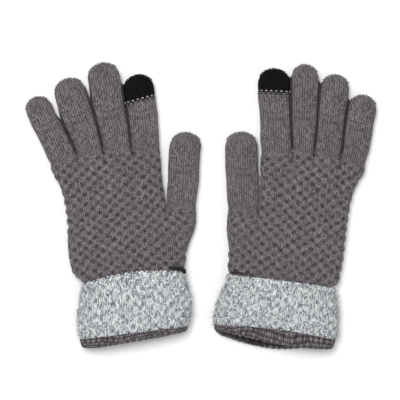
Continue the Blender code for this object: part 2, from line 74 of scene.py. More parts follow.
# Layers of fabric, in mm
WALL = 2.0                     # one layer of the hem
CUFF_WALL = 2.2                # the cuff is knitted in thicker yarn
GAP = 0.3                      # between pieces that touch
ELASTIC_THICKNESS = 0.8
LAYER_SPACE = ELASTIC_THICKNESS + 2 * GAP
LIFTED_LOW = CUFF_WALL + LAYER_SPACE    # lowest level of the hand inside the cuff

# Heights of the parts as they lie, in mm
WRIST_HEIGHT = 10.0            # of the hand layer inside the cuff
HAND_HEIGHT = 13.0
KNUCKLE_HEIGHT = 11.2
FINGER_HEIGHT = 10.6
CUFF_HEIGHT = LIFTED_LOW + WRIST_HEIGHT + LAYER_SPACE + CUFF_WALL
HINGE_HEIGHT = 3.0             # the fabric folds close to its palm side
FLOOR_CLEARANCE = 0.02         # nothing lies lower than this

# Shapes of flattened tubes
SIDE_SHARE = 0.42              # height of a tube's widest level, as a share of its height
EDGE_POWERS = (2.5, 0.4)       # how squarely the upper side turns down at its edge
UNDER_RUN = 0.8                # most of the half width that the underside's edge takes up
HAND_RUN = 17.0                # mm that the hand's rounded edge reaches in over the top
HAND_CROWN = 1.0               # mm that the middle of the hand stands above its shoulders
FINGER_GAP = 0.9               # mm between neighbouring fingers at the crotch
FINGERTIP_ROUND = 11.0         # mm over which a fingertip closes
WIDEN_LENGTH = 28.0            # mm over which a finger reaches its full width
SQUARE_LENGTH = 10.0           # mm over which its rows turn square to it
ELASTIC_BELOW_EDGE = 9.0       # mm from the cuff's free edge down to the elastic
ELASTIC_WIDTH = 6.0
SEW_DISTANCE = 0.002           # mm; points closer than this are one point

# How yarn is drawn; lengths and scales are in stitches
WOBBLE = 0.35                  # how far a slow noise shifts a stitch
WOBBLE_SCALE = 0.45
LEG_HEIGHTS = (0.45, 0.30, 0.25)   # a leg's sine over half a wale, over a whole one, and its base
STRAND_POWER = 0.75            # below 1, it widens the tops of the strands
SHADE_LOSS = 0.6               # share of a stitch's height given up for its own shade
HAIR_SCALE = 3.1
HAIR_DEPTH = 0.8
PATCH_SCALE = 0.16
PATCH_DEPTH = 0.22             # how unlike each other large patches of the fabric are
HOLLOW_END = 0.02              # height on a stitch up to which the painted shade of the hollows reaches
FULL_RELIEF = 0.55             # painted relief shade from which the yarn has its whole colour
BUMP_HEIGHT = 0.6              # mm

# What lies in shade has this relief shade
IN_SHADE = -1.0
STRAND_SHADE = 0.8             # and single strands have this one


# ---------------------------------------------------------------- numbers

def ease(share: np.ndarray) -> np.ndarray:
    """Smooth step from 0 to 1: three times the square less twice the cube."""
    share = np.clip(share, 0.0, 1.0)
    return share * share * (3.0 - 2.0 * share)


def mix(start: np.ndarray, end: np.ndarray, share: np.ndarray) -> np.ndarray:
    """Value a share of the way from start to end."""
    return start + (end - start) * share


def scatter(first: np.ndarray, second: np.ndarray, seed: float) -> np.ndarray:
    """Repeatable number from 0 to 1 for a pair of whole numbers.

    Formula: the fractional part of a large multiple of the sine of a mix of the two.
    """
    value = np.sin(first * 12.9898 + second * 78.233 + seed * 37.719) * 43758.5453
    return value - np.floor(value)


def drift(first: np.ndarray, second: np.ndarray, seed: float) -> np.ndarray:
    """Slow unevenness from about -1 to 1.

    Formula: a sum of three slanted sine waves of unlike lengths.

    Args:
        first: places one way.
        second: places the other way.
        seed: shifts the waves.
    Returns:
        The unevenness at each place.
    """
    return (0.5 * np.sin(first * 0.61 + second * 0.37 + seed * 1.7)
            + 0.3 * np.sin(first * -0.43 + second * 0.83 + seed * 2.9)
            + 0.2 * np.sin(first * 1.31 + second * 1.13 + seed * 4.3))


def smooth_curve(at: np.ndarray, knots: list[float], values: list[float]) -> np.ndarray:
    """Cubic curve through knots, with slopes from each knot's two neighbours.

    Args:
        at: places to read the curve at.
        knots: rising places of the knots.
        values: the curve's values there.
    Returns:
        The curve's values, held level past either end.
    """
    x, y = np.asarray(knots, float), np.asarray(values, float)
    slope = np.gradient(y, x)
    place = np.clip(np.asarray(at, float), x[0], x[-1])
    low = np.clip(np.searchsorted(x, place, side="right") - 1, 0, len(x) - 2)
    step = x[low + 1] - x[low]
    t = (place - x[low]) / step
    return ((2 * t ** 3 - 3 * t ** 2 + 1) * y[low] + (t ** 3 - 2 * t ** 2 + t) * step * slope[low]
            + (3 * t ** 2 - 2 * t ** 3) * y[low + 1] + (t ** 3 - t ** 2) * step * slope[low + 1])


def srgb(code: str, alpha: float = 1.0) -> tuple[float, float, float, float]:
    """Linear colour of an sRGB hex code.

    Args:
        code: six hex digits, such as 6a6269.
        alpha: the fourth value.
    Returns:
        Red, green, blue and alpha.
    """
    parts = [int(code[at:at + 2], 16) / 255.0 for at in (0, 2, 4)]
    linear = [part / 12.92 if part <= 0.04045 else ((part + 0.055) / 1.055) ** 2.4
              for part in parts]
    return (*linear, alpha)


# ---------------------------------------------------------------- sections of flattened tubes

@dataclass(frozen=True)
class Section:
    """Cross-section of a flattened tube, as heights over places x from -1 to 1 across it.

    All fields are in mm: arrays that match in shape, or plain numbers.
    """
    half: np.ndarray               # half its width
    low: np.ndarray                # lowest level
    high: np.ndarray               # highest level
    run: np.ndarray                # how far the rounded edge reaches in over the top
    crown: float = 0.0             # how far the middle stands above the shoulders

    @property
    def side(self) -> np.ndarray:
        """Height of the widest level."""
        return self.low + SIDE_SHARE * (self.high - self.low)

    def top(self, x: np.ndarray) -> np.ndarray:
        """Height of the upper side.

        Formula: a plateau crowned as a parabola, and past it an edge that falls as
        (1 - e^2.5)^0.4, with e the share of the edge's run.

        Args:
            x: places across, from -1 to 1.
        Returns:
            Heights in mm.
        """
        turn, fall = EDGE_POWERS
        run = np.minimum(self.run, self.half)
        flat = np.maximum(self.half - run, 1e-6)
        across = np.abs(x) * self.half
        shoulder = self.high - self.crown
        plateau = shoulder + self.crown * (1.0 - np.clip(across / flat, 0, 1) ** 2)
        edge = np.clip((across - flat) / run, 0.0, 1.0)
        sloped = self.side + (shoulder - self.side) * (1.0 - edge ** turn) ** fall
        return np.where(across < flat, plateau, sloped)

    def under(self, x: np.ndarray) -> np.ndarray:
        """Height of the underside: flat, with a quarter ellipse up to the side on each edge.

        Args:
            x: places across, from -1 to 1.
        Returns:
            Heights in mm.
        """
        run = np.minimum(0.5 * (self.high - self.low), UNDER_RUN * self.half)
        across = np.abs(x) * self.half
        edge = np.clip((across - (self.half - run)) / run, 0.0, 1.0)
        return self.side - (self.side - self.low) * np.sqrt(1.0 - edge ** 2)

    def inset(self, by: np.ndarray) -> "Section":
        """The same tube with every wall moved in."""
        return Section(self.half - by, self.low + by, self.high - by,
                       np.maximum(np.minimum(self.run, self.half) - by, 0.5), self.crown)


def even_places(section: Section, count: int) -> np.ndarray:
    """Places that are evenly spaced along a section's upper side.

    Args:
        section: a section whose fields are plain numbers.
        count: how many steps to take from edge to edge.
    Returns:
        Places x from -1 to 1, one more than the count.
    """
    fine = np.sin(np.linspace(-0.5, 0.5, 801) * math.pi)
    step = np.hypot(np.diff(fine) * section.half, np.diff(section.top(fine)))
    length = np.concatenate(([0.0], np.cumsum(step)))
    places = np.interp(np.linspace(0.0, length[-1], count + 1), length, fine)
    places[0], places[-1] = -1.0, 1.0
    return places


# ---------------------------------------------------------------- the lays

@dataclass(frozen=True)
class Digit:
    """One finger or thumb, in mm."""
    name: str
    lean: float                    # degrees towards the thumb side
    length: float                  # from its root to its tip
    width: float
    bend_at: float                 # middle joint's distance from the root
    stray: float = 0.0             # how far the skin lies off towards the thumb side by the tip

    @property
    def along(self) -> np.ndarray:
        """Level unit vector along the digit."""
        lean = math.radians(self.lean)
        return np.array((math.sin(lean), math.cos(lean)))

    @property
    def square(self) -> np.ndarray:
        """Level unit vector across the digit, towards the thumb side."""
        return np.array((self.along[1], -self.along[0]))


@dataclass(frozen=True)
class Root:
    """A digit's root: middle of its knuckle line, direction along that line, and half width."""
    pivot: np.ndarray
    across: np.ndarray
    half: float


class Edge(Enum):
    """How a cuff's free edge is finished."""
    SCALLOPED = "scalloped"
    FINE = "fine"


@dataclass(frozen=True)
class Lay:
    """How one glove lies: its outline, its digits and its wrist, in lay millimetres.

    Outlines are rows of (v, outer side's u, thumb side's u).
    """
    name: str
    mirror: int                    # 1 where the thumb side is the world's +x side, else -1
    turn: float                    # degrees that the glove is turned on the floor
    outline: tuple                 # of the hand above the cuff
    knuckles: tuple                # points (u, v) between and beside the fingers, from the little
    fingers: tuple
    thumb: Digit
    thumb_root: tuple              # middle of the thumb's root
    thumb_start: tuple             # where the gusset leaves the wrist
    thumb_bulge: float             # how far the gusset's edge bows out
    cuff_top: tuple
    cuff_middle: tuple
    cuff_bottom: tuple
    hem_end: tuple
    edge_bow: float                # how far the cuff's free edge bows up in the middle
    end_bow: float                 # and the hem's end, on its upper layer
    hem_arch: float                # and the line between hem and cuff
    hem_tilt: float                # how much lower the hem's outer end lies than its thumb side
    gape: tuple                    # hem's lower layer past its upper one: (mm, middle, half width)
    row_bow: float                 # how far the hand's rows arch up above the cuff
    touch_length: float            # of the conductive tip
    touch_slant: float             # half the rise of its first course across the finger
    tack: tuple                    # thickness, and where it starts as a share of the half width
    edge: Edge
    loop_pitch: float              # between the loops of the free edge
    seed: float

    @property
    def origin(self) -> np.ndarray:
        """World millimetres of the lay frame's origin, from the thumb's knuckle joint."""
        joint = next(j for j in frame["joints"] if j["name"] == f"{self.name}_thumb_knuckle")
        return np.array(joint["pos_m"][:2]) / MM - self.turned(np.array(self.thumb_root))

    def turned(self, flat: np.ndarray) -> np.ndarray:
        """Level vectors in the world's directions.

        Args:
            flat: level lay vectors.
        Returns:
            The same vectors, mirrored and turned.
        """
        turn = math.radians(self.turn)
        u, v = self.mirror * flat[..., 0], flat[..., 1]
        return np.stack((u * math.cos(turn) - v * math.sin(turn),
                         u * math.sin(turn) + v * math.cos(turn)), axis=-1)

    def world(self, points: np.ndarray) -> np.ndarray:
        """World metres of points in lay millimetres."""
        flat = self.turned(points[..., :2]) + self.origin
        return np.concatenate((flat, points[..., 2:3]), axis=-1) * MM

    def finger_root(self, index: int) -> Root:
        """Root of a finger, between its two crotch points.

        Args:
            index: the finger's number, from the little finger.
        Returns:
            The root.
        """
        low, high = np.array(self.knuckles[index]), np.array(self.knuckles[index + 1])
        length = float(np.linalg.norm(high - low))
        return Root((low + high) / 2, (high - low) / length, (length - FINGER_GAP) / 2)

    @property
    def thumb_place(self) -> Root:
        """Root of the thumb."""
        return Root(np.array(self.thumb_root), self.thumb.square,
                    (self.thumb.width - FINGER_GAP) / 2)

    @property
    def crotch(self) -> np.ndarray:
        """Point between the thumb and the palm."""
        root = self.thumb_place
        return root.pivot - root.across * root.half

    @property
    def thumb_outer(self) -> np.ndarray:
        """Point where the thumb's far side leaves the hand."""
        root = self.thumb_place
        return root.pivot + root.across * root.half

    def body(self, *names: str) -> str:
        """Name of one of this glove's bodies."""
        return "_".join((self.name, *names))


LEFT = Lay(
    name="left", mirror=1, turn=7.0,
    outline=((62.0, -41.3, 49.3), (80.0, -41.7, 42.0), (99.0, -40.0, 38.3),
             (120.0, -40.8, 37.9), (150.0, -49.0, 39.0)),
    knuckles=((-47.4, 143.5), (-25.0, 147.4), (-4.7, 149.0), (17.4, 147.0), (38.9, 142.8)),
    fingers=(Digit("little", -19.5, 54.5, 20.0, 26.0), Digit("ring", -12.0, 61.5, 23.6, 29.0),
             Digit("middle", -4.0, 69.5, 24.0, 32.0), Digit("index", 0.5, 60.0, 22.8, 28.0)),
    thumb=Digit("thumb", 9.8, 57.5, 23.6, 29.0, stray=1.4),
    thumb_root=(49.9, 99.0), thumb_start=(45.5, 60.5), thumb_bulge=3.6,
    cuff_top=(47.0, -34.5, 46.2), cuff_middle=(24.0, -40.8, 49.0),
    cuff_bottom=(6.0, -41.3, 44.5), hem_end=(1.2, -40.4, 42.2),
    edge_bow=4.6, end_bow=-2.2, hem_arch=0.0, hem_tilt=2.8, gape=(0.0, 0.0, 1.0), row_bow=3.0,
    touch_length=20.0, touch_slant=2.0, tack=(2.6, 0.70),
    edge=Edge.SCALLOPED, loop_pitch=3.8, seed=1.0)

RIGHT = Lay(
    name="right", mirror=-1, turn=-7.0,
    outline=((62.0, -44.9, 44.2), (80.0, -45.1, 34.0), (99.0, -45.0, 24.6),
             (120.0, -46.4, 26.6), (150.0, -55.0, 28.8)),
    knuckles=((-53.3, 143.7), (-33.7, 146.8), (-12.6, 149.1), (4.1, 147.9), (28.4, 143.2)),
    fingers=(Digit("little", -3.0, 53.5, 21.4, 26.0), Digit("ring", 0.6, 64.0, 21.2, 29.0),
             Digit("middle", 5.8, 68.6, 20.2, 32.0), Digit("index", 9.6, 66.0, 23.4, 29.0)),
    thumb=Digit("thumb", 8.9, 60.0, 24.4, 30.0),
    thumb_root=(37.0, 99.0), thumb_start=(41.0, 60.5), thumb_bulge=2.6,
    cuff_top=(46.2, -42.0, 42.9), cuff_middle=(22.0, -47.3, 49.4),
    cuff_bottom=(7.0, -47.0, 49.0), hem_end=(2.6, -45.6, 46.0),
    edge_bow=0.8, end_bow=-4.0, hem_arch=3.0, hem_tilt=3.6,
    gape=(7.8, 0.26, 0.95), row_bow=0.5,
    touch_length=19.0, touch_slant=1.2, tack=(1.6, 0.45),
    edge=Edge.FINE, loop_pitch=2.5, seed=2.0)


# ---------------------------------------------------------------- yarns

def add_node(tree: bpy.types.NodeTree, kind: str, links: dict | None = None,
             **settings: object) -> bpy.types.Node:
    """Add a node with its settings and its inputs.

    Args:
        tree: the material's node tree.
        kind: the node's type name without its ShaderNode prefix.
        links: input name or number to an output socket or a value.
        settings: attributes of the node.
    Returns:
        The new node.
    """
    node = tree.nodes.new("ShaderNode" + kind)
    for name, value in settings.items():
        setattr(node, name, value)
    for name, value in (links or {}).items():
        if isinstance(value, bpy.types.NodeSocket):
            tree.links.new(value, node.inputs[name])
        else:
            node.inputs[name].default_value = value
    return node


def new_material(name: str) -> bpy.types.Material:
    """A material whose node tree is empty."""
    material = bpy.data.materials.new(name)
    material.use_nodes = True
    material.node_tree.nodes.clear()
    return material


@dataclass(frozen=True)
class Yarn:
    """A knitted yarn: stitches drawn from the stitch coordinates, relief from the mesh.

    Colours are sRGB hex: painted shade in the hollows between stitches, middle of the yarn, and its
    brightest strands, partly light flecks of the yarn and partly a painted highlight on their tops.
    """
    name: str
    hollow_shade: str
    middle: str
    bright: str
    fleck: float               # how unlike each other neighbouring stitches are, 0 to 1
    crease_shade: float              # how dark the painted shade in the creases between blocks gets, 0 to 1
    slant: float               # courses that a stitch's two legs rise towards the wale's middle
    body: float = 0.42         # height on a stitch at which its middle colour is reached
    roughness: float = 0.95
    sheen: float = 0.25
    bump: float = 0.55
    fuzz: float = 0.35         # share of fine hairs in the bump

    def make(self) -> bpy.types.Material:
        """Build the material.

        A stitch is two slanting legs: their height is a base and two sines of the place across
        the wale, times the sine of the place along the leg. The colour follows that height, so the
        hollows get painted shade and the strands' tops a painted highlight. Each leg has its own random
        shade of the yarn, fine hairs and large patches vary it, and the mesh's relief paints shade into
        the creases.

        Returns:
            The material.
        """
        material = new_material(self.name)
        tree = material.node_tree

        def maths(operation: str, first: object, second: object = 0.0) -> bpy.types.NodeSocket:
            """One arithmetic step."""
            return add_node(tree, "Math", {0: first, 1: second}, operation=operation).outputs[0]

        stitches = add_node(tree, "UVMap", uv_map="stitches").outputs[0]
        wobble = add_node(tree, "TexNoise", {"Vector": stitches, "Scale": WOBBLE_SCALE,
                                             "Detail": 2.0})
        shift = add_node(tree, "VectorMath", {0: wobble.outputs["Color"], 1: (0.5, 0.5, 0.5)},
                         operation="SUBTRACT").outputs[0]
        shift = add_node(tree, "VectorMath", {0: shift, "Scale": WOBBLE},
                         operation="SCALE").outputs[0]
        place = add_node(tree, "VectorMath", {0: stitches, 1: shift}, operation="ADD").outputs[0]
        split = add_node(tree, "SeparateXYZ", {0: place})
        wale, course = split.outputs[0], split.outputs[1]
        half = maths("PINGPONG", wale, 0.5)
        broad, narrow, base = LEG_HEIGHTS
        leg = maths("ADD", maths("MULTIPLY", maths("SINE", maths("MULTIPLY", half, math.pi)), broad),
                    maths("MULTIPLY", maths("SINE", maths("MULTIPLY", half, 2.0 * math.pi)), narrow))
        leg = maths("ADD", leg, base)
        rise = maths("ADD", course, maths("MULTIPLY", half, self.slant))
        strand = maths("ABSOLUTE", maths("SINE", maths("MULTIPLY", rise, math.pi)))
        height = maths("POWER", maths("MAXIMUM", maths("MULTIPLY", leg, strand), 0.0001),
                       STRAND_POWER)

        cell = add_node(tree, "CombineXYZ", {0: maths("FLOOR", maths("MULTIPLY", wale, 2.0)),
                                             1: maths("FLOOR", rise)}).outputs[0]
        shade = add_node(tree, "TexWhiteNoise", {"Vector": cell}).outputs["Value"]
        hairs = add_node(tree, "TexNoise", {"Vector": place, "Scale": HAIR_SCALE, "Detail": 5.0,
                                            "Roughness": 0.7}).outputs[0]
        patches = add_node(tree, "TexNoise", {"Vector": stitches, "Scale": PATCH_SCALE,
                                              "Detail": 2.0}).outputs[0]
        # The mesh's relief attribute holds painted shade
        relief = add_node(tree, "Attribute", attribute_name="relief").outputs["Fac"]

        # Painted light and shade: a stitch's height lightens the strands' tops and leaves the hollows
        # dark; its random shade and the hairs are the yarn's own uneven colour
        lit = maths("ADD", maths("MULTIPLY", height, 1.0 - self.fleck * SHADE_LOSS),
                    maths("MULTIPLY", maths("SUBTRACT", shade, 0.5), self.fleck))
        lit = maths("ADD", lit, maths("MULTIPLY", maths("SUBTRACT", hairs, 0.5), HAIR_DEPTH))
        ramp = add_node(tree, "ValToRGB", {0: lit})
        stops = ramp.color_ramp.elements
        stops[0].position, stops[0].color = HOLLOW_END, srgb(self.hollow_shade)
        stops[1].position, stops[1].color = 1.0, srgb(self.bright)
        middle = stops.new(self.body)
        middle.color = srgb(self.middle)
        # Painted shade: the relief attribute darkens the colour in creases, between ribs, where fingers
        # touch and inside the hem
        raised = add_node(tree, "MapRange", {0: relief, 1: IN_SHADE, 2: FULL_RELIEF,
                                             3: 1.0 - self.crease_shade, 4: 1.0}).outputs[0]
        tone = maths("ADD", raised, maths("MULTIPLY", maths("SUBTRACT", patches, 0.5),
                                          PATCH_DEPTH))
        colour = add_node(tree, "VectorMath", {0: ramp.outputs[0], "Scale": tone},
                          operation="SCALE").outputs[0]
        bumps = maths("ADD", height, maths("MULTIPLY", hairs, self.fuzz))
        normal = add_node(tree, "Bump", {"Strength": self.bump, "Distance": BUMP_HEIGHT * MM,
                                         "Height": bumps}).outputs[0]
        shader = add_node(tree, "BsdfPrincipled", {
            "Base Color": colour, "Roughness": self.roughness, "Normal": normal,
            "Sheen Weight": self.sheen, "Sheen Roughness": 0.6, "Specular IOR Level": 0.12})
        add_node(tree, "OutputMaterial", {"Surface": shader.outputs[0]})
        return material


@dataclass(frozen=True)
class Thread:
    """A twisted thread or a covered elastic: bands that slant round a strand.

    Colours are sRGB hex.
    """
    name: str
    dark: str                  # painted shade between the bands
    light: str                 # painted highlight on their tops
    bands: float               # per unit of the strand's second coordinate
    roughness: float
    grain: float = 6.0         # scale of the noise that breaks up the bands
    depth: float = 0.3         # of the bump, in mm

    def make(self) -> bpy.types.Material:
        """Build the material: the sine of both coordinates mixes two shades and lifts a bump.

        Returns:
            The material.
        """
        material = new_material(self.name)
        tree = material.node_tree
        place = add_node(tree, "UVMap", uv_map="stitches").outputs[0]
        split = add_node(tree, "SeparateXYZ", {0: place})
        slanted = add_node(tree, "Math", {0: split.outputs[0], 1: self.bands, 2: split.outputs[1]},
                           operation="MULTIPLY_ADD").outputs[0]
        wave = add_node(tree, "Math", {0: slanted}, operation="SINE").outputs[0]
        grain = add_node(tree, "TexNoise", {"Vector": place, "Scale": self.grain, "Detail": 4.0})
        level = add_node(tree, "MapRange", {0: wave, 1: -1.0, 2: 1.0}).outputs[0]
        level = add_node(tree, "Math", {0: level, 1: grain.outputs[0]},
                         operation="MULTIPLY").outputs[0]
        # Painted shade between the bands and a painted highlight on their tops, following the bump
        colour = add_node(tree, "Mix", {0: level, 6: srgb(self.dark), 7: srgb(self.light)},
                          data_type="RGBA").outputs[2]
        normal = add_node(tree, "Bump", {"Strength": 0.6, "Distance": self.depth * MM,
                                         "Height": level}).outputs[0]
        shader = add_node(tree, "BsdfPrincipled", {
            "Base Color": colour, "Roughness": self.roughness, "Normal": normal,
            "Sheen Weight": 0.15, "Specular IOR Level": 0.2})
        add_node(tree, "OutputMaterial", {"Surface": shader.outputs[0]})
        return material


# In every yarn below, the first colour is painted shade in the hollows between stitches, and the last is
# partly a painted highlight on the strands' tops.
# Acrylic stocking yarn, spun soft and slightly heathered: a matt warm grey with short hairs.
GREY_YARN = Yarn("acrylic_grey_yarn", "0d0a0d", "625b61", "b0a9ae", fleck=0.34, crease_shade=0.74,
                 slant=1.6, body=0.45, sheen=0.08)
# Carbon-blended acrylic for the touch tips: nearly black, so only its stitch tops show.
TOUCH_YARN = Yarn("conductive_black_yarn", "020202", "0d0c0d", "232223", fleck=0.4, crease_shade=0.35,
                  slant=1.6, sheen=0.0)
# Brushed marl of white and blue-grey strands: bright flecked stitches, with grey in the hollows that is
# partly the blue-grey strands and partly painted shade.
MARL_YARN = Yarn("brushed_marl_yarn", "5f676b", "dde2e4", "ffffff", fleck=0.78, crease_shade=0.40,
                 slant=1.2, body=0.36, sheen=0.30, bump=0.8, fuzz=0.6)
# The hem's grey yarn is the hand's, worked tighter, so it looks a little rougher.
HEM_YARN = Yarn("tight_grey_yarn", "131013", "5f585e", "aaa3a8", fleck=0.5, crease_shade=0.80,
                slant=0.9, sheen=0.08, bump=0.7)
# The last grey course before the touch tip is stretched over the black, so it looks pale.
LINK_YARN = Yarn("stretched_grey_yarn", "5a5359", "a8a1a6", "cfc9cd", fleck=0.3, crease_shade=0.2,
                 slant=1.6)
# Polyester sewing thread: black with a faint painted highlight along its twist, and painted shade between
# its turns.
TACK_THREAD = Thread("polyester_black_thread", "050505", "232224", 6.0, 0.55)
# Rubber cord covered with grey yarn: ribs that run round the wrist, with painted shade between them and a
# painted highlight on their tops.
WRIST_RUBBER = Thread("yarn_covered_elastic", "3c383c", "8d888c", 0.0, 0.8)


# ---------------------------------------------------------------- knitted surfaces

# Gives height in mm and painted shade from -1 to 1 for stitch coordinates and shares of relief
Relief = Callable[[np.ndarray, np.ndarray], tuple[np.ndarray, np.ndarray]]


def face_outwards(mesh: bpy.types.Mesh, sew: bool = False) -> None:
    """Turn a closed surface's faces outwards.

    Args:
        mesh: the surface.
        sew: merge points that coincide first.
    """
    shell = bmesh.new()
    shell.from_mesh(mesh)
    if sew:
        bmesh.ops.remove_doubles(shell, verts=shell.verts, dist=SEW_DISTANCE * MM)
    bmesh.ops.recalc_face_normals(shell, faces=shell.faces)
    shell.to_mesh(mesh)
    shell.free()


@dataclass
class Patch:
    """A grid of points with stitch coordinates and a share that its relief function reads."""
    points: np.ndarray         # rows, columns, 3, in lay mm
    stitches: np.ndarray       # rows, columns, 2
    basket: np.ndarray         # rows, columns: of basket relief, or of painted shade beside touching fingers on a digit


@dataclass
class Knit:
    """Patches sewn into one surface, whose relief is raised along its normals."""
    lay: Lay
    name: str
    patches: list[Patch] = field(default_factory=list)

    def add(self, points: np.ndarray, stitches: np.ndarray, basket: np.ndarray | float = 1.0) -> None:
        """Add one grid of points; grids that share an edge are sewn there."""
        share = np.broadcast_to(np.asarray(basket, float), points.shape[:2])
        self.patches.append(Patch(points, stitches, share))

    def mesh(self) -> bpy.types.Mesh:
        """Join the patches' quads, merge points that coincide and turn the faces outwards.

        Corner n of a quad at row r and column c is (r, c), (r, c+1), (r+1, c+1) or (r+1, c).

        Returns:
            The mesh, in world metres, with its stitch coordinates and relief shares.
        """
        points, corners, stitches, basket, base = [], [], [], [], 0
        for patch in self.patches:
            rows, columns = patch.points.shape[:2]
            index = base + np.arange(rows * columns).reshape(rows, columns)
            quad = (index[:-1, :-1], index[:-1, 1:], index[1:, 1:], index[1:, :-1])
            corners.append(np.stack(quad, axis=-1).reshape(-1, 4))
            points.append(patch.points.reshape(-1, 3))
            stitches.append(patch.stitches.reshape(-1, 2))
            basket.append(patch.basket.reshape(-1))
            base += rows * columns
        places, faces = np.concatenate(points), np.concatenate(corners)
        mesh = bpy.data.meshes.new(self.name)
        mesh.from_pydata(self.lay.world(places), [], faces)
        uv = mesh.uv_layers.new(name="stitches")
        uv.data.foreach_set("uv", np.concatenate(stitches)[faces.reshape(-1)].reshape(-1))
        share = mesh.attributes.new("basket", "FLOAT", "POINT")
        share.data.foreach_set("value", np.concatenate(basket).astype(np.float32))
        face_outwards(mesh, sew=True)
        return mesh

    def finish(self, relief: Relief, material: bpy.types.Material) -> bpy.types.Object:
        """Raise the relief and make the object.

        Args:
            relief: gives the height and the painted shade of each point.
            material: the yarn.
        Returns:
            The finished object, at the origin.
        """
        mesh = self.mesh()
        count, loops = len(mesh.vertices), len(mesh.loops)
        owner, uv = np.empty(loops, np.int32), np.empty(loops * 2, np.float32)
        mesh.loops.foreach_get("vertex_index", owner)
        mesh.uv_layers["stitches"].data.foreach_get("uv", uv)
        stitches = np.zeros((count, 2))
        stitches[owner] = uv.reshape(-1, 2)
        share = np.empty(count, np.float32)
        mesh.attributes["basket"].data.foreach_get("value", share)
        place, normal = np.empty(count * 3), np.empty(count * 3)
        mesh.vertices.foreach_get("co", place)
        mesh.vertex_normals.foreach_get("vector", normal)
        height, shade = relief(stitches, share)
        place = place.reshape(-1, 3) + normal.reshape(-1, 3) * height[:, None] * MM
        place[:, 2] = np.maximum(place[:, 2], FLOOR_CLEARANCE * MM)
        mesh.vertices.foreach_set("co", place.reshape(-1))
        # The relief attribute holds painted shade, which the yarn reads to darken its colour
        tone = mesh.attributes.new("relief", "FLOAT", "POINT")
        tone.data.foreach_set("value", shade.astype(np.float32))
        mesh.update()
        return make_object(self.name, mesh, material)


def make_object(name: str, mesh: bpy.types.Mesh, material: bpy.types.Material) -> bpy.types.Object:
    """A smooth-shaded object at the origin.

    Args:
        name: the object's name.
        mesh: its mesh, in world metres.
        material: the yarn or thread.
    Returns:
        The object.
    """
    mesh.shade_smooth()
    mesh.materials.append(material)
    made = bpy.data.objects.new(name, mesh)
    bpy.context.scene.collection.objects.link(made)
    LOG.info("%s: %d faces", name, len(mesh.polygons))
    return made


def basket_relief(stitches: np.ndarray, basket: np.ndarray, depth: float, block: tuple,
                  seed: float) -> tuple[np.ndarray, np.ndarray]:
    """Blocks of stitches that stand up and sink in turn, as on a chequerboard.

    Formula: the hyperbolic tangent of the product of two cosines, one across blocks and one
    along them, made uneven from block to block.

    Args:
        stitches: wale and course of each point.
        basket: share of the relief at each point.
        depth: from a sunk block to a raised one, in mm.
        block: stitches across and along one block.
        seed: picks the unevenness.
    Returns:
        Height in mm, and painted shade from about -1 to 1, lowest on sunk blocks.
    """
    squareness, spread, sink = 1.9, 0.35, 0.6
    wave = np.cos(math.pi * stitches[:, 0] / block[0]) * np.cos(math.pi * stitches[:, 1] / block[1])
    pillow = np.tanh(squareness * wave + spread) / math.tanh(squareness)
    cell = np.round(stitches / np.array(block))
    lift = 0.75 + 0.5 * scatter(cell[:, 0], cell[:, 1], seed)
    tone = pillow * lift * basket
    return 0.5 * depth * (tone - sink * basket), tone


def plain_relief(stitches: np.ndarray, depth: float, seed: float) -> tuple[np.ndarray, np.ndarray]:
    """Ribs of stocking stitch with slow unevenness.

    Formula: the cosine across a wale, rippled by the cosine along a course.

    Args:
        stitches: wale and course of each point.
        depth: from between two ribs to the top of one, in mm.
        seed: picks the unevenness.
    Returns:
        Height in mm, and painted shade from about -1 to 1, lowest between ribs, with a slow uneven tone.
    """
    rib = -np.cos(2 * math.pi * stitches[:, 0]) * (0.8 + 0.2 * np.cos(math.pi * 2 * stitches[:, 1]))
    slow = drift(stitches[:, 0] * 0.5, stitches[:, 1] * 0.25, seed)
    return 0.5 * depth * (rib - 0.6) + 0.28 * slow, 0.22 + 0.25 * rib + 0.15 * slow


# ---------------------------------------------------------------- loops and strands

def tube(paths: np.ndarray, radius: np.ndarray | float, sides: int
         ) -> tuple[np.ndarray, np.ndarray, np.ndarray]:
    """Tubes along many paths at once, closed at both ends.

    Formula: at each point of a path, a circle square to it; the end circles shrink to a point.

    Args:
        paths: tubes, points, 3, in mm.
        radius: one number, or one for each tube and point.
        sides: corners of a circle.
    Returns:
        Points, quads and end caps of all the tubes.
    """
    tilt, closed = 1e-3, 0.02      # keeps a path that points up turning; an end's share of radius
    paths = np.concatenate((paths[:, :1], paths, paths[:, -1:]), axis=1)
    count, steps = paths.shape[:2]
    along = np.gradient(paths, axis=1)
    along[:, 0], along[:, -1] = along[:, 1], along[:, -2]
    along /= np.maximum(np.linalg.norm(along, axis=-1, keepdims=True), 1e-9)
    up = np.array((0.0, 0.0, 1.0)) + along * tilt
    side = np.cross(along, up)
    side /= np.maximum(np.linalg.norm(side, axis=-1, keepdims=True), 1e-9)
    top = np.cross(side, along)
    thick = np.broadcast_to(np.asarray(radius, float), (count, steps - 2))
    thick = np.concatenate((thick[:, :1] * closed, thick, thick[:, -1:] * closed), axis=1)
    turn = 2 * math.pi * np.arange(sides) / sides
    ring = (side[:, :, None] * np.cos(turn)[None, None, :, None]
            + top[:, :, None] * np.sin(turn)[None, None, :, None])
    points = paths[:, :, None] + ring * thick[:, :, None, None]
    index = np.arange(count * steps * sides).reshape(count, steps, sides)
    after = np.roll(index, -1, axis=2)
    quads = np.stack((index[:, :-1], after[:, :-1], after[:, 1:], index[:, 1:]), axis=-1)
    caps = np.concatenate((index[:, 0, ::-1].reshape(count, sides),
                           index[:, -1].reshape(count, sides)))
    return points.reshape(-1, 3), quads.reshape(-1, 4), caps


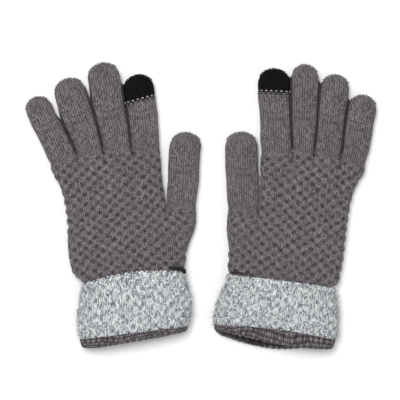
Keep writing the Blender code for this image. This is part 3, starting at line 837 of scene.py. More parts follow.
def strands(lay: Lay, name: str, paths: np.ndarray, radius: np.ndarray | float, sides: int,
            material: bpy.types.Material, spacing: float = 1.0) -> bpy.types.Object:
    """One object of many tubes, whose stitch coordinates run round and along each.

    Args:
        lay: the glove's lay.
        name: the object's name.
        paths: tubes, points, 3, in lay mm.
        radius: of the tubes, in mm.
        sides: corners of a tube's circle.
        material: the yarn.
        spacing: how many stitch coordinates one tube's length takes up.
    Returns:
        The finished object.
    """
    points, quads, caps = tube(paths, radius, sides)
    points[:, 2] = np.maximum(points[:, 2], FLOOR_CLEARANCE)
    mesh = bpy.data.meshes.new(name)
    faces = [tuple(quad) for quad in quads] + [tuple(cap) for cap in caps]
    mesh.from_pydata(lay.world(points), [], faces)
    steps = paths.shape[1] + 2
    number = np.arange(len(points))
    step, corner, strand = (number // sides) % steps, number % sides, number // (sides * steps)
    place = np.stack((corner / sides + 3.0 * strand, step / steps * spacing + 0.37 * strand),
                     axis=-1)
    owner = np.empty(len(mesh.loops), np.int32)
    mesh.loops.foreach_get("vertex_index", owner)
    uv = mesh.uv_layers.new(name="stitches")
    uv.data.foreach_set("uv", place[owner].reshape(-1))
    tone = mesh.attributes.new("relief", "FLOAT", "POINT")
    tone.data.foreach_set("value", np.full(len(points), STRAND_SHADE, np.float32))
    face_outwards(mesh)
    return make_object(name, mesh, material)


# ---------------------------------------------------------------- the hand

@dataclass
class Hand:
    """The knitted hand: palm and gusset below the thumb's crotch, and the palm above it."""
    lay: Lay
    finger_columns: int = 32       # points across one finger's share of the palm
    thumb_columns: int = 34
    row_step: float = 0.65         # mm between rows
    inside_step: float = 3.0       # and between rows that lie inside the cuff
    finger_dip: float = 17.0       # mm before the knuckle line where the fingers start to part
    thumb_dip: float = 15.0        # and before the crotch line, where the thumb does
    above_cuff: float = 4.5        # mm from the cuff's free edge to the hand's full height
    mouth_share: float = 0.68      # of the way to the outline's start, where the hand lies down
    guide_share: float = 0.76      # of the width that is palm, where the gusset starts
    block_depth: float = 1.05      # mm
    crotch_row: tuple = ()         # heights, u and stitches of the row at which upper() starts

    def __post_init__(self) -> None:
        """Work out the edge curves' knots from the lay.

        Knots are (v, value), and those of the wrist (v, outer u, inner u, low, high).
        """
        lay = self.lay
        top_v, top_outer, top_inner = lay.cuff_top
        first_v, first_outer, first_inner = lay.outline[0]
        above = top_v + self.above_cuff
        mouth = mix(top_v, first_v, self.mouth_share)
        wrist = [(v + shift, outer + LIFTED_LOW, inner - LIFTED_LOW, LIFTED_LOW,
                  LIFTED_LOW + WRIST_HEIGHT)
                 for (v, outer, inner), shift in
                 ((lay.cuff_bottom, GAP), (lay.cuff_middle, 0.0), (lay.cuff_top, -1.0))]
        wrist.append((above, top_outer - 1.5, top_inner + 0.3, LIFTED_LOW - 0.9, HAND_HEIGHT))
        wrist.append((mouth, mix(top_outer, first_outer, 0.85), mix(top_inner, first_inner, 0.70),
                      0.0, HAND_HEIGHT))
        start, end = np.array(lay.thumb_start), lay.thumb_outer
        gusset = [start + (end - start) * share
                  + np.array((lay.thumb_bulge * 4 * share * (1 - share), 0.0))
                  for share in (0.25, 0.5, 0.75, 1.0)]
        self.outer_knots = [w[:2] for w in wrist] + [(v, outer) for v, outer, _ in lay.outline]
        self.wide_knots = ([(w[0], w[2]) for w in wrist] + [(first_v, first_inner)]
                           + [(g[1], g[0]) for g in gusset])
        palm = [(v, inner) for v, _, inner in lay.outline if v > lay.crotch[1] + 5.0]
        self.palm_knots = [(float(lay.crotch[1]), float(lay.crotch[0]))] + palm
        self.low_knots = [(w[0], w[3]) for w in wrist] + [(first_v, 0.0)]
        self.high_knots = [(w[0], w[4]) for w in wrist] + [(first_v, HAND_HEIGHT)]

    @staticmethod
    def read(knots: list, at: np.ndarray) -> np.ndarray:
        """Smooth curve through (place, value) knots."""
        return smooth_curve(at, [k[0] for k in knots], [k[1] for k in knots])

    def heights(self, v: np.ndarray) -> tuple[np.ndarray, np.ndarray]:
        """Levels of the hand.

        Args:
            v: places up the hand.
        Returns:
            Lowest and highest level there, in mm.
        """
        low = np.interp(v, [k[0] for k in self.low_knots], [k[1] for k in self.low_knots])
        high = self.read(self.high_knots, v)
        high = mix(high, KNUCKLE_HEIGHT, ease((v - 90.0) / 50.0))
        return low, high

    @property
    def parting(self) -> np.ndarray:
        """Shares of the palm's width at the knuckle line's crotch points."""
        u = np.array([point[0] for point in self.lay.knuckles])
        return (u - u[0]) / (u[-1] - u[0])

    def palm_shares(self, near: np.ndarray) -> np.ndarray:
        """Where each column of each row lies across the palm.

        Args:
            near: 0 for a row with even columns, 1 for one gathered towards the crotch points.
        Returns:
            Shares from 0 to 1 across the palm: rows, columns.
        """
        count, half = self.finger_columns * 4, 42.0
        even = (even_places(Section(half, 0.0, HAND_HEIGHT, HAND_RUN, HAND_CROWN), count) + 1.0) / 2.0
        t = np.sin(np.linspace(-0.5, 0.5, self.finger_columns + 1) * math.pi) / 2 + 0.5
        part = self.parting
        gathered = np.concatenate([part[k] + (part[k + 1] - part[k]) * t[:-1] for k in range(4)]
                                  + [np.array([1.0])])
        return mix(even[None, :], gathered[None, :], near[:, None])

    def finger_heights(self, share: np.ndarray, low: np.ndarray, high: np.ndarray
                       ) -> tuple[np.ndarray, np.ndarray]:
        """Levels if the palm were four finger tubes side by side.

        Args:
            share: places across the palm, from 0 to 1.
            low: the palm's lowest level.
            high: its highest level.
        Returns:
            Heights of the upper and of the lower side, in mm.
        """
        part = self.parting
        finger = np.clip(np.searchsorted(part, share, side="right") - 1, 0, 3)
        span = part[finger + 1] - part[finger]
        x = np.clip(2.0 * (share - part[finger]) / span - 1.0, -1.0, 1.0)
        u = [point[0] for point in self.lay.knuckles]
        half = span * (u[-1] - u[0]) / 2.0
        tube_section = Section(half, low, high, half)
        return tube_section.top(x), tube_section.under(x)

    def stitch_places(self, u: np.ndarray, v: np.ndarray, z: np.ndarray) -> np.ndarray:
        """Stitch coordinates of the hand.

        Formula: the length along the row from the hand's middle, and the distance up the hand
        less an arch, each over the size of a stitch, with a slow unevenness.

        Args:
            u: places across.
            v: places up the hand.
            z: heights of the upper side.
        Returns:
            Wale and course at each point.
        """
        step = np.hypot(np.diff(u, axis=1), np.diff(z, axis=1))
        length = np.concatenate((np.zeros((len(u), 1)), np.cumsum(step, axis=1)), axis=1)
        middle = np.array([np.interp(0.0, across, run) for across, run in zip(u, length)])
        arch = self.lay.row_bow * (1.0 - (u / 45.0) ** 2) * (1.0 - ease((v - 50.0) / 70.0))
        wale = (length - middle[:, None]) / STITCH_WIDTH
        course = (v - arch) / STITCH_HEIGHT
        uneven = drift(wale * 0.35, course * 0.35, self.lay.seed)
        sway = drift(course * 0.3, wale * 0.3, self.lay.seed + 5.0)
        return np.stack((wale + 0.35 * sway, course + 0.4 * uneven), axis=-1)

    def lower(self, knit: Knit) -> None:
        """The hand from inside the cuff to the thumb's crotch, with the gusset.

        Rows run from the wrist to the crotch line. Towards that line the wide section turns into
        the palm's section beside the thumb's.

        Args:
            knit: the surface to add to.
        """
        lay, crotch, outer_end = self.lay, self.lay.crotch, self.lay.thumb_outer
        start = lay.cuff_bottom[0] + GAP
        fine_from = lay.cuff_top[0] - 6.0
        rows = np.concatenate((np.arange(start, fine_from, self.inside_step),
                               np.linspace(fine_from, crotch[1], 1 + round(
                                   (crotch[1] - fine_from) / self.row_step))))
        width = self.read(self.wide_knots, crotch[1]) - self.read(self.outer_knots, crotch[1])
        share_end = (crotch[0] - self.read(self.outer_knots, crotch[1])) / width
        palm_count, thumb_count = self.finger_columns * 4, self.thumb_columns
        thumb_share = (np.linspace(0.0, 1.0, thumb_count + 1) * 0.5
                       + 0.25 * (1 + np.sin(np.linspace(-0.5, 0.5, thumb_count + 1) * math.pi)))
        end_v = np.concatenate((np.full(palm_count, crotch[1]),
                                mix(crotch[1], outer_end[1], thumb_share)))
        run = (rows - rows[0]) / (rows[-1] - rows[0])
        v = rows[:, None] + (end_v - crotch[1])[None, :] * ease((run[:, None] - 0.4) / 0.6)
        outer, inner = self.read(self.outer_knots, v), self.read(self.wide_knots, v)
        guide_share = mix(self.guide_share, share_end, ease((v - 55.0) / (crotch[1] - 55.0)))
        guide = outer + (inner - outer) * guide_share
        palm = self.palm_shares(np.zeros(len(rows)))
        u = np.concatenate((mix(outer[:, :palm_count], guide[:, :palm_count], palm[:, :-1]),
                            mix(guide[:, palm_count:], inner[:, palm_count:],
                                thumb_share[None, :])), axis=1)
        exact = mix(crotch[0], outer_end[0], thumb_share)
        u[:, palm_count:] = mix(u[:, palm_count:], exact[None, :], run[:, None] ** 8)
        low, high = self.heights(v)
        half = (inner - outer) / 2
        x = np.clip((u - (inner + outer) / 2) / half, -1.0, 1.0)
        wide = Section(half, low, high, np.full_like(half, HAND_RUN), HAND_CROWN)
        palm_half = (guide - outer) / 2
        thumb_half = (inner - guide) / 2
        palm_part = Section(palm_half, low, high, np.full_like(half, HAND_RUN), HAND_CROWN)
        thumb_part = Section(thumb_half, low, mix(high, KNUCKLE_HEIGHT, 0.6), thumb_half)
        is_palm = np.arange(u.shape[1])[None, :] < palm_count
        beside = np.where(is_palm, (u - outer) / palm_half - 1.0,
                          (u - guide) / thumb_half - 1.0)
        beside = np.clip(beside, -1.0, 1.0)
        beside[-1, palm_count] = -1.0
        before = end_v[None, :] - v
        part = ease(1.0 - before / self.thumb_dip) ** 1.5
        top = mix(wide.top(x), np.where(is_palm, palm_part.top(beside), thumb_part.top(beside)),
                  part)
        under = mix(wide.under(x), np.where(is_palm, palm_part.under(beside),
                                            thumb_part.under(beside)), part)
        under[:, 0], under[:, -1] = top[:, 0], top[:, -1]
        under[-1, palm_count] = top[-1, palm_count]
        stitches = self.stitch_places(u, v, top)
        shown = ease((v - lay.cuff_top[0] + 6.0) / 4.0)
        plain = np.where(is_palm, 0.0, ease(1.0 - before / 5.0))
        edge = ease((inner - u) / 5.0)
        basket = shown * (1.0 - plain) * (0.25 + 0.75 * np.where(v > 66.0, edge, 1.0))
        for z in (top, under):
            knit.add(np.stack((u, v, z), axis=-1), stitches, basket)
        self.crotch_row = tuple(grid[-1, :palm_count + 1] for grid in (top, under, u, stitches))

    def upper(self, knit: Knit) -> None:
        """The palm from the thumb's crotch to the fingers' roots.

        Rows run from the crotch line to the knuckle line. Towards it the section turns into four
        finger tubes side by side.

        Args:
            knit: the surface to add to.
        """
        lay = self.lay
        knuckle_u = np.array([point[0] for point in lay.knuckles])
        knuckle_v = np.array([point[1] for point in lay.knuckles])
        start = float(lay.crotch[1])
        count = 1 + round((knuckle_v.mean() - start) / self.row_step)
        run = np.linspace(0.0, 1.0, count)
        share = self.palm_shares(ease((run - 0.35) / 0.65))
        end_u = mix(knuckle_u[0], knuckle_u[-1], share[-1])
        end_v = np.interp(end_u, knuckle_u, knuckle_v)
        v = start + (end_v[None, :] - start) * run[:, None]
        outer, inner = self.read(self.outer_knots, v), self.read(self.palm_knots, v)
        u = mix(outer, inner, share)
        u = mix(u, end_u[None, :], ease((run[:, None] - 0.6) / 0.4))
        low, high = self.heights(v)
        half = (inner - outer) / 2
        x = np.clip(2.0 * share - 1.0, -1.0, 1.0)
        whole = Section(half, low, high, np.full_like(half, HAND_RUN), HAND_CROWN)
        top, under = whole.top(x), whole.under(x)
        stitches = self.stitch_places(u, v, top)
        parted_top, parted_under = self.finger_heights(share, low, high)
        near = ease(1.0 - (end_v[None, :] - v) / self.finger_dip) ** 2
        top, under = mix(top, parted_top, near), mix(under, parted_under, near)
        top[0], under[0], u[0], stitches[0] = self.crotch_row
        under[:, 0], under[:, -1] = top[:, 0], top[:, -1]
        basket = ease((end_v[None, :] - v) / 2.5)
        for z in (top, under):
            knit.add(np.stack((u, v, z), axis=-1), stitches, basket)

    def build(self, material: bpy.types.Material) -> bpy.types.Object:
        """Make and attach the hand.

        Args:
            material: the yarn.
        Returns:
            The finished object.
        """
        knit = Knit(self.lay, f"{self.lay.name}_hand_knit")
        self.lower(knit)
        self.upper(knit)
        made = knit.finish(self.relief, material)
        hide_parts(f"{self.lay.name}_hand_shell")
        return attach(made, self.lay.body("hand"))

    def relief(self, stitches: np.ndarray, basket: np.ndarray) -> tuple[np.ndarray, np.ndarray]:
        """Basket blocks on a slightly uneven cloth.

        Args:
            stitches: wale and course of each point.
            basket: share of the blocks' relief at each point.
        Returns:
            Height in mm, and painted shade from -1 to 1, lowest on sunk blocks.
        """
        height, tone = basket_relief(stitches, basket, self.block_depth, (BLOCK, BLOCK),
                                     self.lay.seed)
        slow = drift(stitches[:, 0] * 0.12, stitches[:, 1] * 0.12, self.lay.seed + 9.0)
        return height + 0.25 * slow * basket, 0.78 * tone + 0.06 + 0.15 * (1.0 - basket)


# ---------------------------------------------------------------- digits

@dataclass
class DigitSkin:
    """The knitted skin of one digit, in a near and a far piece."""
    lay: Lay
    digit: Digit
    root: Root
    row_step: float = 0.75         # mm between rows
    tuck: float = 2.6              # mm that the skin starts inside the hand
    tuck_in: tuple = (0.9, 0.7)    # mm that this end is narrower and lower on each side
    plump: float = 0.5             # mm that soft fabric stands wider than the frame on each side
    tip_rows: int = 18
    rib_depth: float = 0.32        # mm
    sway: float = 0.45             # mm that the skin wanders to either side
    touching: tuple = (2.3, 1.6)   # mm between two skins that touch, and then mm until they part
    press: float = 0.1             # mm that each is pressed into the other
    reach_out: tuple = (-0.8, 1.5)     # mm, least and most, that an edge moves to meet another
    groove_shade: tuple = (0.80, 0.14)   # where across the skin the painted shade between touching fingers starts, and how soon it is dark
    loop_pitch: float = 2.1        # mm between the loops at the tip
    loop_radius: float = 0.42

    def __post_init__(self) -> None:
        """Count the wales round the digit and space the rows."""
        self.nominal = Section(self.digit.width / 2, 0.0, FINGER_HEIGHT, self.digit.width / 2)
        around = 2.0 * (self.digit.width + 0.52 * FINGER_HEIGHT)
        self.wales = 2 * round(around / FINGER_STITCH / 2)
        self.places = even_places(self.nominal, self.wales * 2)
        begin = self.digit.length - FINGERTIP_ROUND
        body = np.linspace(-self.tuck, begin, 1 + round((begin + self.tuck) / self.row_step))
        close = begin + FINGERTIP_ROUND * np.sin(
            math.pi / 2 * np.linspace(0.0, 1.0, self.tip_rows + 1)[1:])
        self.rows = np.concatenate((body, close))
        self.split = int(np.searchsorted(self.rows, self.digit.bend_at * 0.5))

    def spread(self, distance: np.ndarray) -> np.ndarray:
        """Half width of the skin before its end closes.

        Args:
            distance: places along the digit from its root, in mm.
        Returns:
            Half widths in mm.
        """
        half = mix(self.root.half, self.digit.width / 2, ease(distance / WIDEN_LENGTH))
        return half + self.plump * ease((distance - 2.0) / 9.0)

    def shut(self, distance: np.ndarray) -> np.ndarray:
        """Share of its width that the tube keeps: a quarter circle past the tube's end.

        Args:
            distance: places along the digit from its root, in mm.
        Returns:
            Shares from 0 to 1.
        """
        past = (distance - (self.digit.length - FINGERTIP_ROUND)) / FINGERTIP_ROUND
        return np.sqrt(1.0 - np.clip(past, 0.0, 1.0) ** 2)

    def contact(self, edge: np.ndarray, side: int) -> tuple[np.ndarray, np.ndarray]:
        """How this finger's soft edge leans on its neighbour.

        Args:
            edge: level points along the edge.
            side: 1 for the edge towards the thumb, -1 for the other.
        Returns:
            How far each point moves out to meet the neighbour, in mm, and how closed the gap is
            there, from 0 to 1.
        """
        order = [finger.name for finger in self.lay.fingers]
        number = order.index(self.digit.name) + side if self.digit.name in order else -1
        if not 0 <= number < len(order):
            return np.zeros(len(edge)), np.zeros(len(edge))
        other = DigitSkin(self.lay, self.lay.fingers[number], self.lay.finger_root(number))
        offset = edge - other.root.pivot
        along, across = offset @ other.digit.along, offset @ other.digit.square
        gap = -side * across - other.spread(along) * other.shut(along)
        near, parting = self.touching
        gap = np.where(along > other.digit.length, 2.0 * (near + parting), gap)
        closed = (1.0 - ease((gap - near) / parting)) * ease((along - 1.0) / 6.0)
        return closed * np.clip(0.5 * gap + self.press, *self.reach_out), closed

    def grid(self) -> tuple[np.ndarray, np.ndarray, np.ndarray, np.ndarray]:
        """The whole skin as rows of points.

        Rows are sections square to the digit; past the tube's end both half width and height
        shrink as a circle's do.

        Returns:
            Points of the upper side, points of the lower side, stitch coordinates, and painted
            shade beside neighbours.
        """
        digit, root, distance = self.digit, self.root, self.rows
        turned = ease(distance / SQUARE_LENGTH)[:, None]
        across = root.across[None, :] * (1.0 - turned) + digit.square[None, :] * turned
        across /= np.linalg.norm(across, axis=1, keepdims=True)
        half = self.spread(distance)
        high = mix(KNUCKLE_HEIGHT, FINGER_HEIGHT, ease(distance / SQUARE_LENGTH))
        inside = ease(-distance / self.tuck)
        narrower, lower = self.tuck_in
        half, high = half - narrower * inside, high - lower * inside
        shut = self.shut(distance)
        shut[-1] = 0.0
        squeeze = shut ** 0.6
        side = SIDE_SHARE * FINGER_HEIGHT
        low = mix(side, lower * inside, squeeze)
        high = mix(side, high, squeeze)
        half = half * shut
        sway = self.sway * drift(distance * 0.28, distance * 0.05, self.lay.seed + digit.width)
        sway = sway * ease(distance / 10.0) * ease((digit.length - distance) / 10.0)
        sway = sway + digit.stray * ease(distance / digit.length)
        centre = root.pivot[None, :] + digit.along[None, :] * distance[:, None] \
            + digit.square[None, :] * sway[:, None]
        lean_on = [self.contact(centre + side * across * half[:, None], side) for side in (-1, 1)]
        section = Section(np.maximum(half, 1e-9)[:, None], low[:, None], high[:, None],
                          np.maximum(half, 1e-9)[:, None])
        x = self.places[None, :]
        offset, shade = x * half[:, None], np.zeros((len(distance), x.shape[1]))
        dark_from, dark_over = self.groove_shade
        for side, (out, closed) in zip((-1, 1), lean_on):
            near_edge = np.clip(side * x, 0.0, 1.0)
            offset = offset + side * near_edge ** 2 * (out * shut)[:, None]
            # Painted shade where this finger's edge lies against its neighbour
            shade = shade + ease((near_edge - dark_from) / dark_over) * (closed * shut)[:, None]
        if digit.name == "index":
            join = digit.length - self.lay.touch_length
            lean = self.lay.touch_slant * np.exp(-((distance - join) / 6.0) ** 2)
            centre = np.broadcast_to(centre[:, None, :], (len(distance), x.shape[1], 2)) \
                + digit.along * (lean[:, None] * x)[..., None]
        else:
            centre = centre[:, None, :]
        flat = centre + across[:, None, :] * offset[..., None]
        sides = [np.concatenate((flat, np.broadcast_to(z[..., None], (*flat.shape[:2], 1))),
                                axis=2) for z in (section.top(x), section.under(x))]
        sides[1][:, (0, -1)] = sides[0][:, (0, -1)]
        wale = np.arange(self.wales * 2 + 1) / 4.0
        course = distance / FINGER_COURSE
        stitches = np.stack(np.broadcast_arrays(wale[None, :], course[:, None]), axis=-1)
        return sides[0], sides[1], stitches, shade

    def piece(self, suffix: str, first: int, last: int, material: bpy.types.Material) -> bpy.types.Object:
        """One piece of the skin.

        Args:
            suffix: end of the object's name.
            first: its first row.
            last: its last row.
            material: the yarn.
        Returns:
            The finished object.
        """
        top, under, stitches, shade = self.grid()
        knit = Knit(self.lay, f"{self.lay.name}_{self.digit.name}_{suffix}")
        for side in (top, under):
            knit.add(side[first:last + 1], stitches[first:last + 1], shade[first:last + 1])
        return knit.finish(self.relief, material)

    def relief(self, stitches: np.ndarray, shade: np.ndarray) -> tuple[np.ndarray, np.ndarray]:
        """Ribs that fade out at the root and the very tip, with painted shade where two fingers touch.

        Args:
            stitches: wale and course of each point.
            shade: share of painted shade at each point.
        Returns:
            Height in mm, and shade from -1 to 1.
        """
        height, tone = plain_relief(stitches, self.rib_depth, self.lay.seed + self.digit.width)
        distance = stitches[:, 1] * FINGER_COURSE
        fade = ease((distance + 1.0) / 2.5) * ease((self.digit.length - distance) / 2.0)
        return height * fade, mix(tone, IN_SHADE, shade)

    def at(self, distance: float) -> np.ndarray:
        """World place on the digit's line, at a distance from its root, at hinge height."""
        flat = self.root.pivot + self.digit.along * distance
        return self.lay.world(np.array((*flat, HINGE_HEIGHT)))

    def build(self, yarns: dict[str, bpy.types.Material]) -> list[bpy.types.Object]:
        """Make the digit's pieces; its tip loops, and the index's touch tip and border stitches, go on
        the far body.

        Args:
            yarns: materials by name.
        Returns:
            The finished objects.
        """
        lay, digit = self.lay, self.digit
        last = len(self.rows) - 1
        middle = float(self.rows[self.split])
        near = self.piece("near_skin", 0, self.split, yarns["grey"])
        near_body, far_body = lay.body(digit.name, "near"), lay.body(digit.name, "far")
        lay.body("hand")
        self.at(-1.0)
        self.at(middle * 0.98)
        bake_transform(near)
        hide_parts(f"{lay.name}_{digit.name}_base")
        made = [near]
        reach = min(12.0, digit.length - digit.bend_at - 10.0)
        if digit.name == "index":
            join = int(np.searchsorted(self.rows, digit.length - lay.touch_length))
            far = self.piece("far_skin", self.split, join, yarns["grey"])
            tip = self.piece("touch_skin", join, last, yarns["touch"])
            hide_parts(f"{lay.name}_index_middle")
            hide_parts(f"{lay.name}_index_touch_tip")
            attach(tip, far_body)
            reach = float(self.rows[join]) - digit.bend_at - 0.5
            made += [tip, self.border(join, yarns["link"], 1, 0.42, "light_stitches"),
                     self.border(join, yarns["touch"], -2, 0.36, "touch_stitches"),
                     self.tip_loops(yarns["touch"])]
        else:
            far = self.piece("far_skin", self.split, last, yarns["grey"])
            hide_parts(f"{lay.name}_{digit.name}_tip")
            made.append(self.tip_loops(yarns["grey"]))
        self.at(middle * 1.02)
        self.at(digit.bend_at + reach)
        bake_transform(far)
        return made + [far]

    def border(self, join: int, material: bpy.types.Material, place: int, radius: float,
               suffix: str) -> bpy.types.Object:
        """Stitches where the conductive yarn starts: every second wale has a short arch.

        Formula: half a turn of an ellipse laid on the skin, as wide as a wale.

        Args:
            join: row at which the conductive yarn starts.
            material: the yarn.
            place: rows past the join.
            radius: of the yarn, in mm.
            suffix: end of the object's name.
        Returns:
            The finished object.
        """
        top, under = self.grid()[:2]
        turn = np.linspace(0.0, math.pi, 6)
        row, every, rise = join + place, 8, 0.8      # columns to two wales; rows that it arches
        rings = []
        for side, lift in ((top, 0.35), (under, -0.1)):
            for column in range(every // 2, side.shape[1] - every // 2, every):
                left, right = side[row, column - 1], side[row, column + 2]
                ahead = side[row + 1, column] - side[row, column]
                centre, reach = (left + right) / 2, (right - left) / 2
                rings.append(centre + np.array((0.0, 0.0, lift)) + np.cos(turn)[:, None] * reach
                             + np.sin(turn)[:, None] * ahead * rise)
        made = strands(self.lay, f"{self.lay.name}_index_{suffix}", np.array(rings), radius, 6,
                       material)
        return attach(made, self.lay.body("index", "far"))

    def tip_loops(self, material: bpy.types.Material) -> bpy.types.Object:
        """The linked loops that close the fingertip, in a row round its end.

        Formula: each is half a turn of a small ellipse that stands out square to the end's
        outline, a half ellipse itself.

        Args:
            material: the yarn.
        Returns:
            The finished object.
        """
        digit, root, pitch = self.digit, self.root, self.loop_pitch
        begin = digit.length - FINGERTIP_ROUND
        count = round(digit.width / pitch)
        number = np.arange(count)
        angle = np.linspace(-0.95, 0.95, count) + 0.05 * (scatter(number, number, digit.width) - 0.5)
        half, side = digit.width / 2 + self.plump, SIDE_SHARE * FINGER_HEIGHT
        flat = (root.pivot + digit.square * digit.stray + digit.along * begin
                + np.sin(angle)[:, None] * half * digit.square
                + np.cos(angle)[:, None] * FINGERTIP_ROUND * digit.along)
        out = np.sin(angle)[:, None] * digit.square + np.cos(angle)[:, None] * digit.along
        along = np.stack((out[:, 1], -out[:, 0]), axis=-1)
        level = side + 0.5 + 0.5 * (scatter(number, number + 5, digit.width) - 0.5)
        turn = np.linspace(-0.25, math.pi + 0.25, 8)
        reach = 0.75 + 0.35 * scatter(number, number + 9, digit.width)
        wide = (np.cos(turn)[None, :, None] * along[:, None, :] * pitch * 0.40
                + (np.sin(turn)[None, :, None] * reach[:, None, None] - 0.35) * out[:, None, :])
        paths = np.concatenate((flat[:, None, :] + wide, np.broadcast_to(
            level[:, None, None], (count, len(turn), 1))), axis=2)
        made = strands(self.lay, f"{self.lay.name}_{digit.name}_tip_loops", paths,
                       self.loop_radius, 6, material)
        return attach(made, self.lay.body(digit.name, "far"))


# ---------------------------------------------------------------- the wrist

# How far a point of a band runs ahead along the wrist, in mm, for its place across and its height
Lead = Callable[[np.ndarray, np.ndarray], np.ndarray]


@dataclass
class Wrist:
    """Cuff, hem band, elastic and tack thread of one glove."""
    lay: Lay
    columns: int = 136             # across one side
    row_step: float = 0.68         # mm between rows of the cuff
    nominal_half: float = 44.0     # half width for which the columns are evenly spaced
    block: float = 4.3             # mm of one basket block of the cuff
    cuff_depth: float = 1.5        # mm from a sunk block to a raised one
    hem_depth: float = 0.9         # the same for the hem's bumps
    hem_block: tuple = (1.6, 1.5)  # stitches across and along one bump
    rim_back: float = 1.0          # mm from the free edge to where its roll starts
    rim_bulge: float = 1.1         # mm that the roll reaches ahead from there
    inner_share: float = 0.15      # of the outer skin's relief that the inner skin has
    shade_from: float = 0.0        # mm along the hem's profile past which it lies in shade

    def edges(self, v: np.ndarray) -> tuple[np.ndarray, np.ndarray]:
        """Outline of the cuff and the hem.

        Args:
            v: places up the wrist.
        Returns:
            The outer side's u and the thumb side's u there.
        """
        knots = (self.lay.hem_end, self.lay.cuff_bottom, self.lay.cuff_middle, self.lay.cuff_top)
        places = [knot[0] for knot in knots]
        return (smooth_curve(v, places, [knot[1] for knot in knots]),
                smooth_curve(v, places, [knot[2] for knot in knots]))

    def shell(self, v: np.ndarray, inset: np.ndarray, lead: Lead) -> list[np.ndarray]:
        """Upper and lower side of a band whose profile is given by v and inset.

        Args:
            v: place of each row up the wrist.
            inset: how far each row is inside the outer skin.
            lead: gives how far a point runs ahead.
        Returns:
            Points of the upper and the lower side.
        """
        outer, inner = self.edges(v)
        half = (inner - outer) / 2
        middle = (inner + outer) / 2
        section = Section(half[:, None], np.zeros((len(v), 1)), np.full((len(v), 1), CUFF_HEIGHT),
                          np.full((len(v), 1), HAND_RUN), HAND_CROWN).inset(inset[:, None])
        nominal = Section(self.nominal_half, 0.0, CUFF_HEIGHT, HAND_RUN, HAND_CROWN)
        x = even_places(nominal, self.columns)[None, :]
        u = middle[:, None] + x * section.half
        sides = []
        for z in (section.top(x), section.under(x)):
            ahead = lead(np.broadcast_to(x, z.shape), z)
            sides.append(np.stack((u, v[:, None] + ahead, z), axis=-1))
        sides[1][:, (0, -1)] = sides[0][:, (0, -1)]
        return sides

    def bowed(self, bow: np.ndarray) -> Lead:
        """Lead of rows that bow ahead in their middle, most on top."""
        return lambda x, z: bow * z / CUFF_HEIGHT * (1.0 - x ** 2)

    def stitch_places(self, top: np.ndarray, length: np.ndarray) -> np.ndarray:
        """Stitch coordinates of a band, the same on its upper and its lower side.

        Formula: the wale is the length round the section and the course the length along the
        profile, each over the size of a stitch and with a slow unevenness.

        Args:
            top: points of the upper side.
            length: length along the profile at each row, in mm.
        Returns:
            Wale and course at each point.
        """
        step = np.hypot(np.diff(top[..., 0], axis=1), np.diff(top[..., 2], axis=1))
        around = np.concatenate((np.zeros((len(top), 1)), np.cumsum(step, axis=1)), axis=1)
        around = around - around[:, -1:] / 2
        wale = around * BLOCK / self.block
        course = np.broadcast_to(length[:, None] * BLOCK / self.block, wale.shape)
        sway = drift(course * 0.4, wale * 0.3, self.lay.seed + 11.0)
        return np.stack((wale + 0.5 * sway,
                         course + 0.6 * drift(wale * 0.3, course * 0.4, 3.0)), axis=-1)

    def cuff(self, material: bpy.types.Material) -> bpy.types.Object:
        """The turned-up cuff: outer skin, rolled rim, and inner skin back to the fold.

        Args:
            material: the yarn.
        Returns:
            The finished object.
        """
        lay = self.lay
        bottom, top = lay.cuff_bottom[0], lay.cuff_top[0]
        rim = top - self.rim_back
        outer_rows = np.linspace(bottom, rim, 1 + round((top - bottom) / self.row_step))
        turn = np.linspace(0.0, math.pi, 8)[1:]
        rim_v = rim + self.rim_bulge * np.sin(turn)
        rim_in = CUFF_WALL / 2 * (1.0 - np.cos(turn))
        inner_rows = np.linspace(rim, bottom, 14)[1:]
        fold = np.array((bottom - 0.5, bottom))
        v = np.concatenate((outer_rows, rim_v, inner_rows, fold))
        inset = np.concatenate((np.zeros(len(outer_rows)), rim_in,
                                np.full(len(inner_rows), CUFF_WALL), (CUFF_WALL / 2, 0.0)))
        share = np.clip((v - bottom) / (top - bottom), 0.0, 1.0)[:, None]
        arch = lay.hem_arch * ease(1.0 - share * 2.4)
        bow = lay.edge_bow * ease((share - 0.35) / 0.65) + arch
        sides = self.shell(v, inset, self.bowed(bow))
        for points in sides:
            points[-1] = points[0]
        length = np.concatenate(([0.0], np.cumsum(np.hypot(np.diff(v), np.diff(inset)))))
        stitches = self.stitch_places(sides[0], length)
        outside = inset < 0.3
        basket = np.where(outside, 1.0, self.inner_share) * ease((length[-1] - length) / 2.0)
        basket[0] = basket[-1] = 0.0
        knit = Knit(lay, f"{lay.name}_cuff_knit")
        for points in sides:
            knit.add(points, stitches, basket[:, None])
        made = knit.finish(self.cuff_relief, material)
        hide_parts(f"{lay.name}_cuff")
        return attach(made, lay.body("hand"))

    def cuff_relief(self, stitches: np.ndarray, basket: np.ndarray) -> tuple[np.ndarray, np.ndarray]:
        """Deep basket blocks with lumps of brushed yarn on them.

        Args:
            stitches: wale and course of each point.
            basket: share of the blocks' relief at each point.
        Returns:
            Height in mm, and painted shade from about -1 to 1, lowest on sunk blocks, with the lumps' own
            uneven tone.
        """
        height, tone = basket_relief(stitches, basket, self.cuff_depth, (BLOCK, BLOCK),
                                     self.lay.seed + 3.0)
        tone = tone * (0.75 if self.lay.edge is Edge.SCALLOPED else 0.45)
        lump = scatter(np.round(stitches[:, 0] * 0.8), np.round(stitches[:, 1] * 0.8), 7.0) - 0.5
        slow = drift(stitches[:, 0] * 0.22, stitches[:, 1] * 0.3, self.lay.seed + 8.0)
        return height + (0.55 * lump + 0.35 * slow) * basket, tone + 0.5 * lump * basket

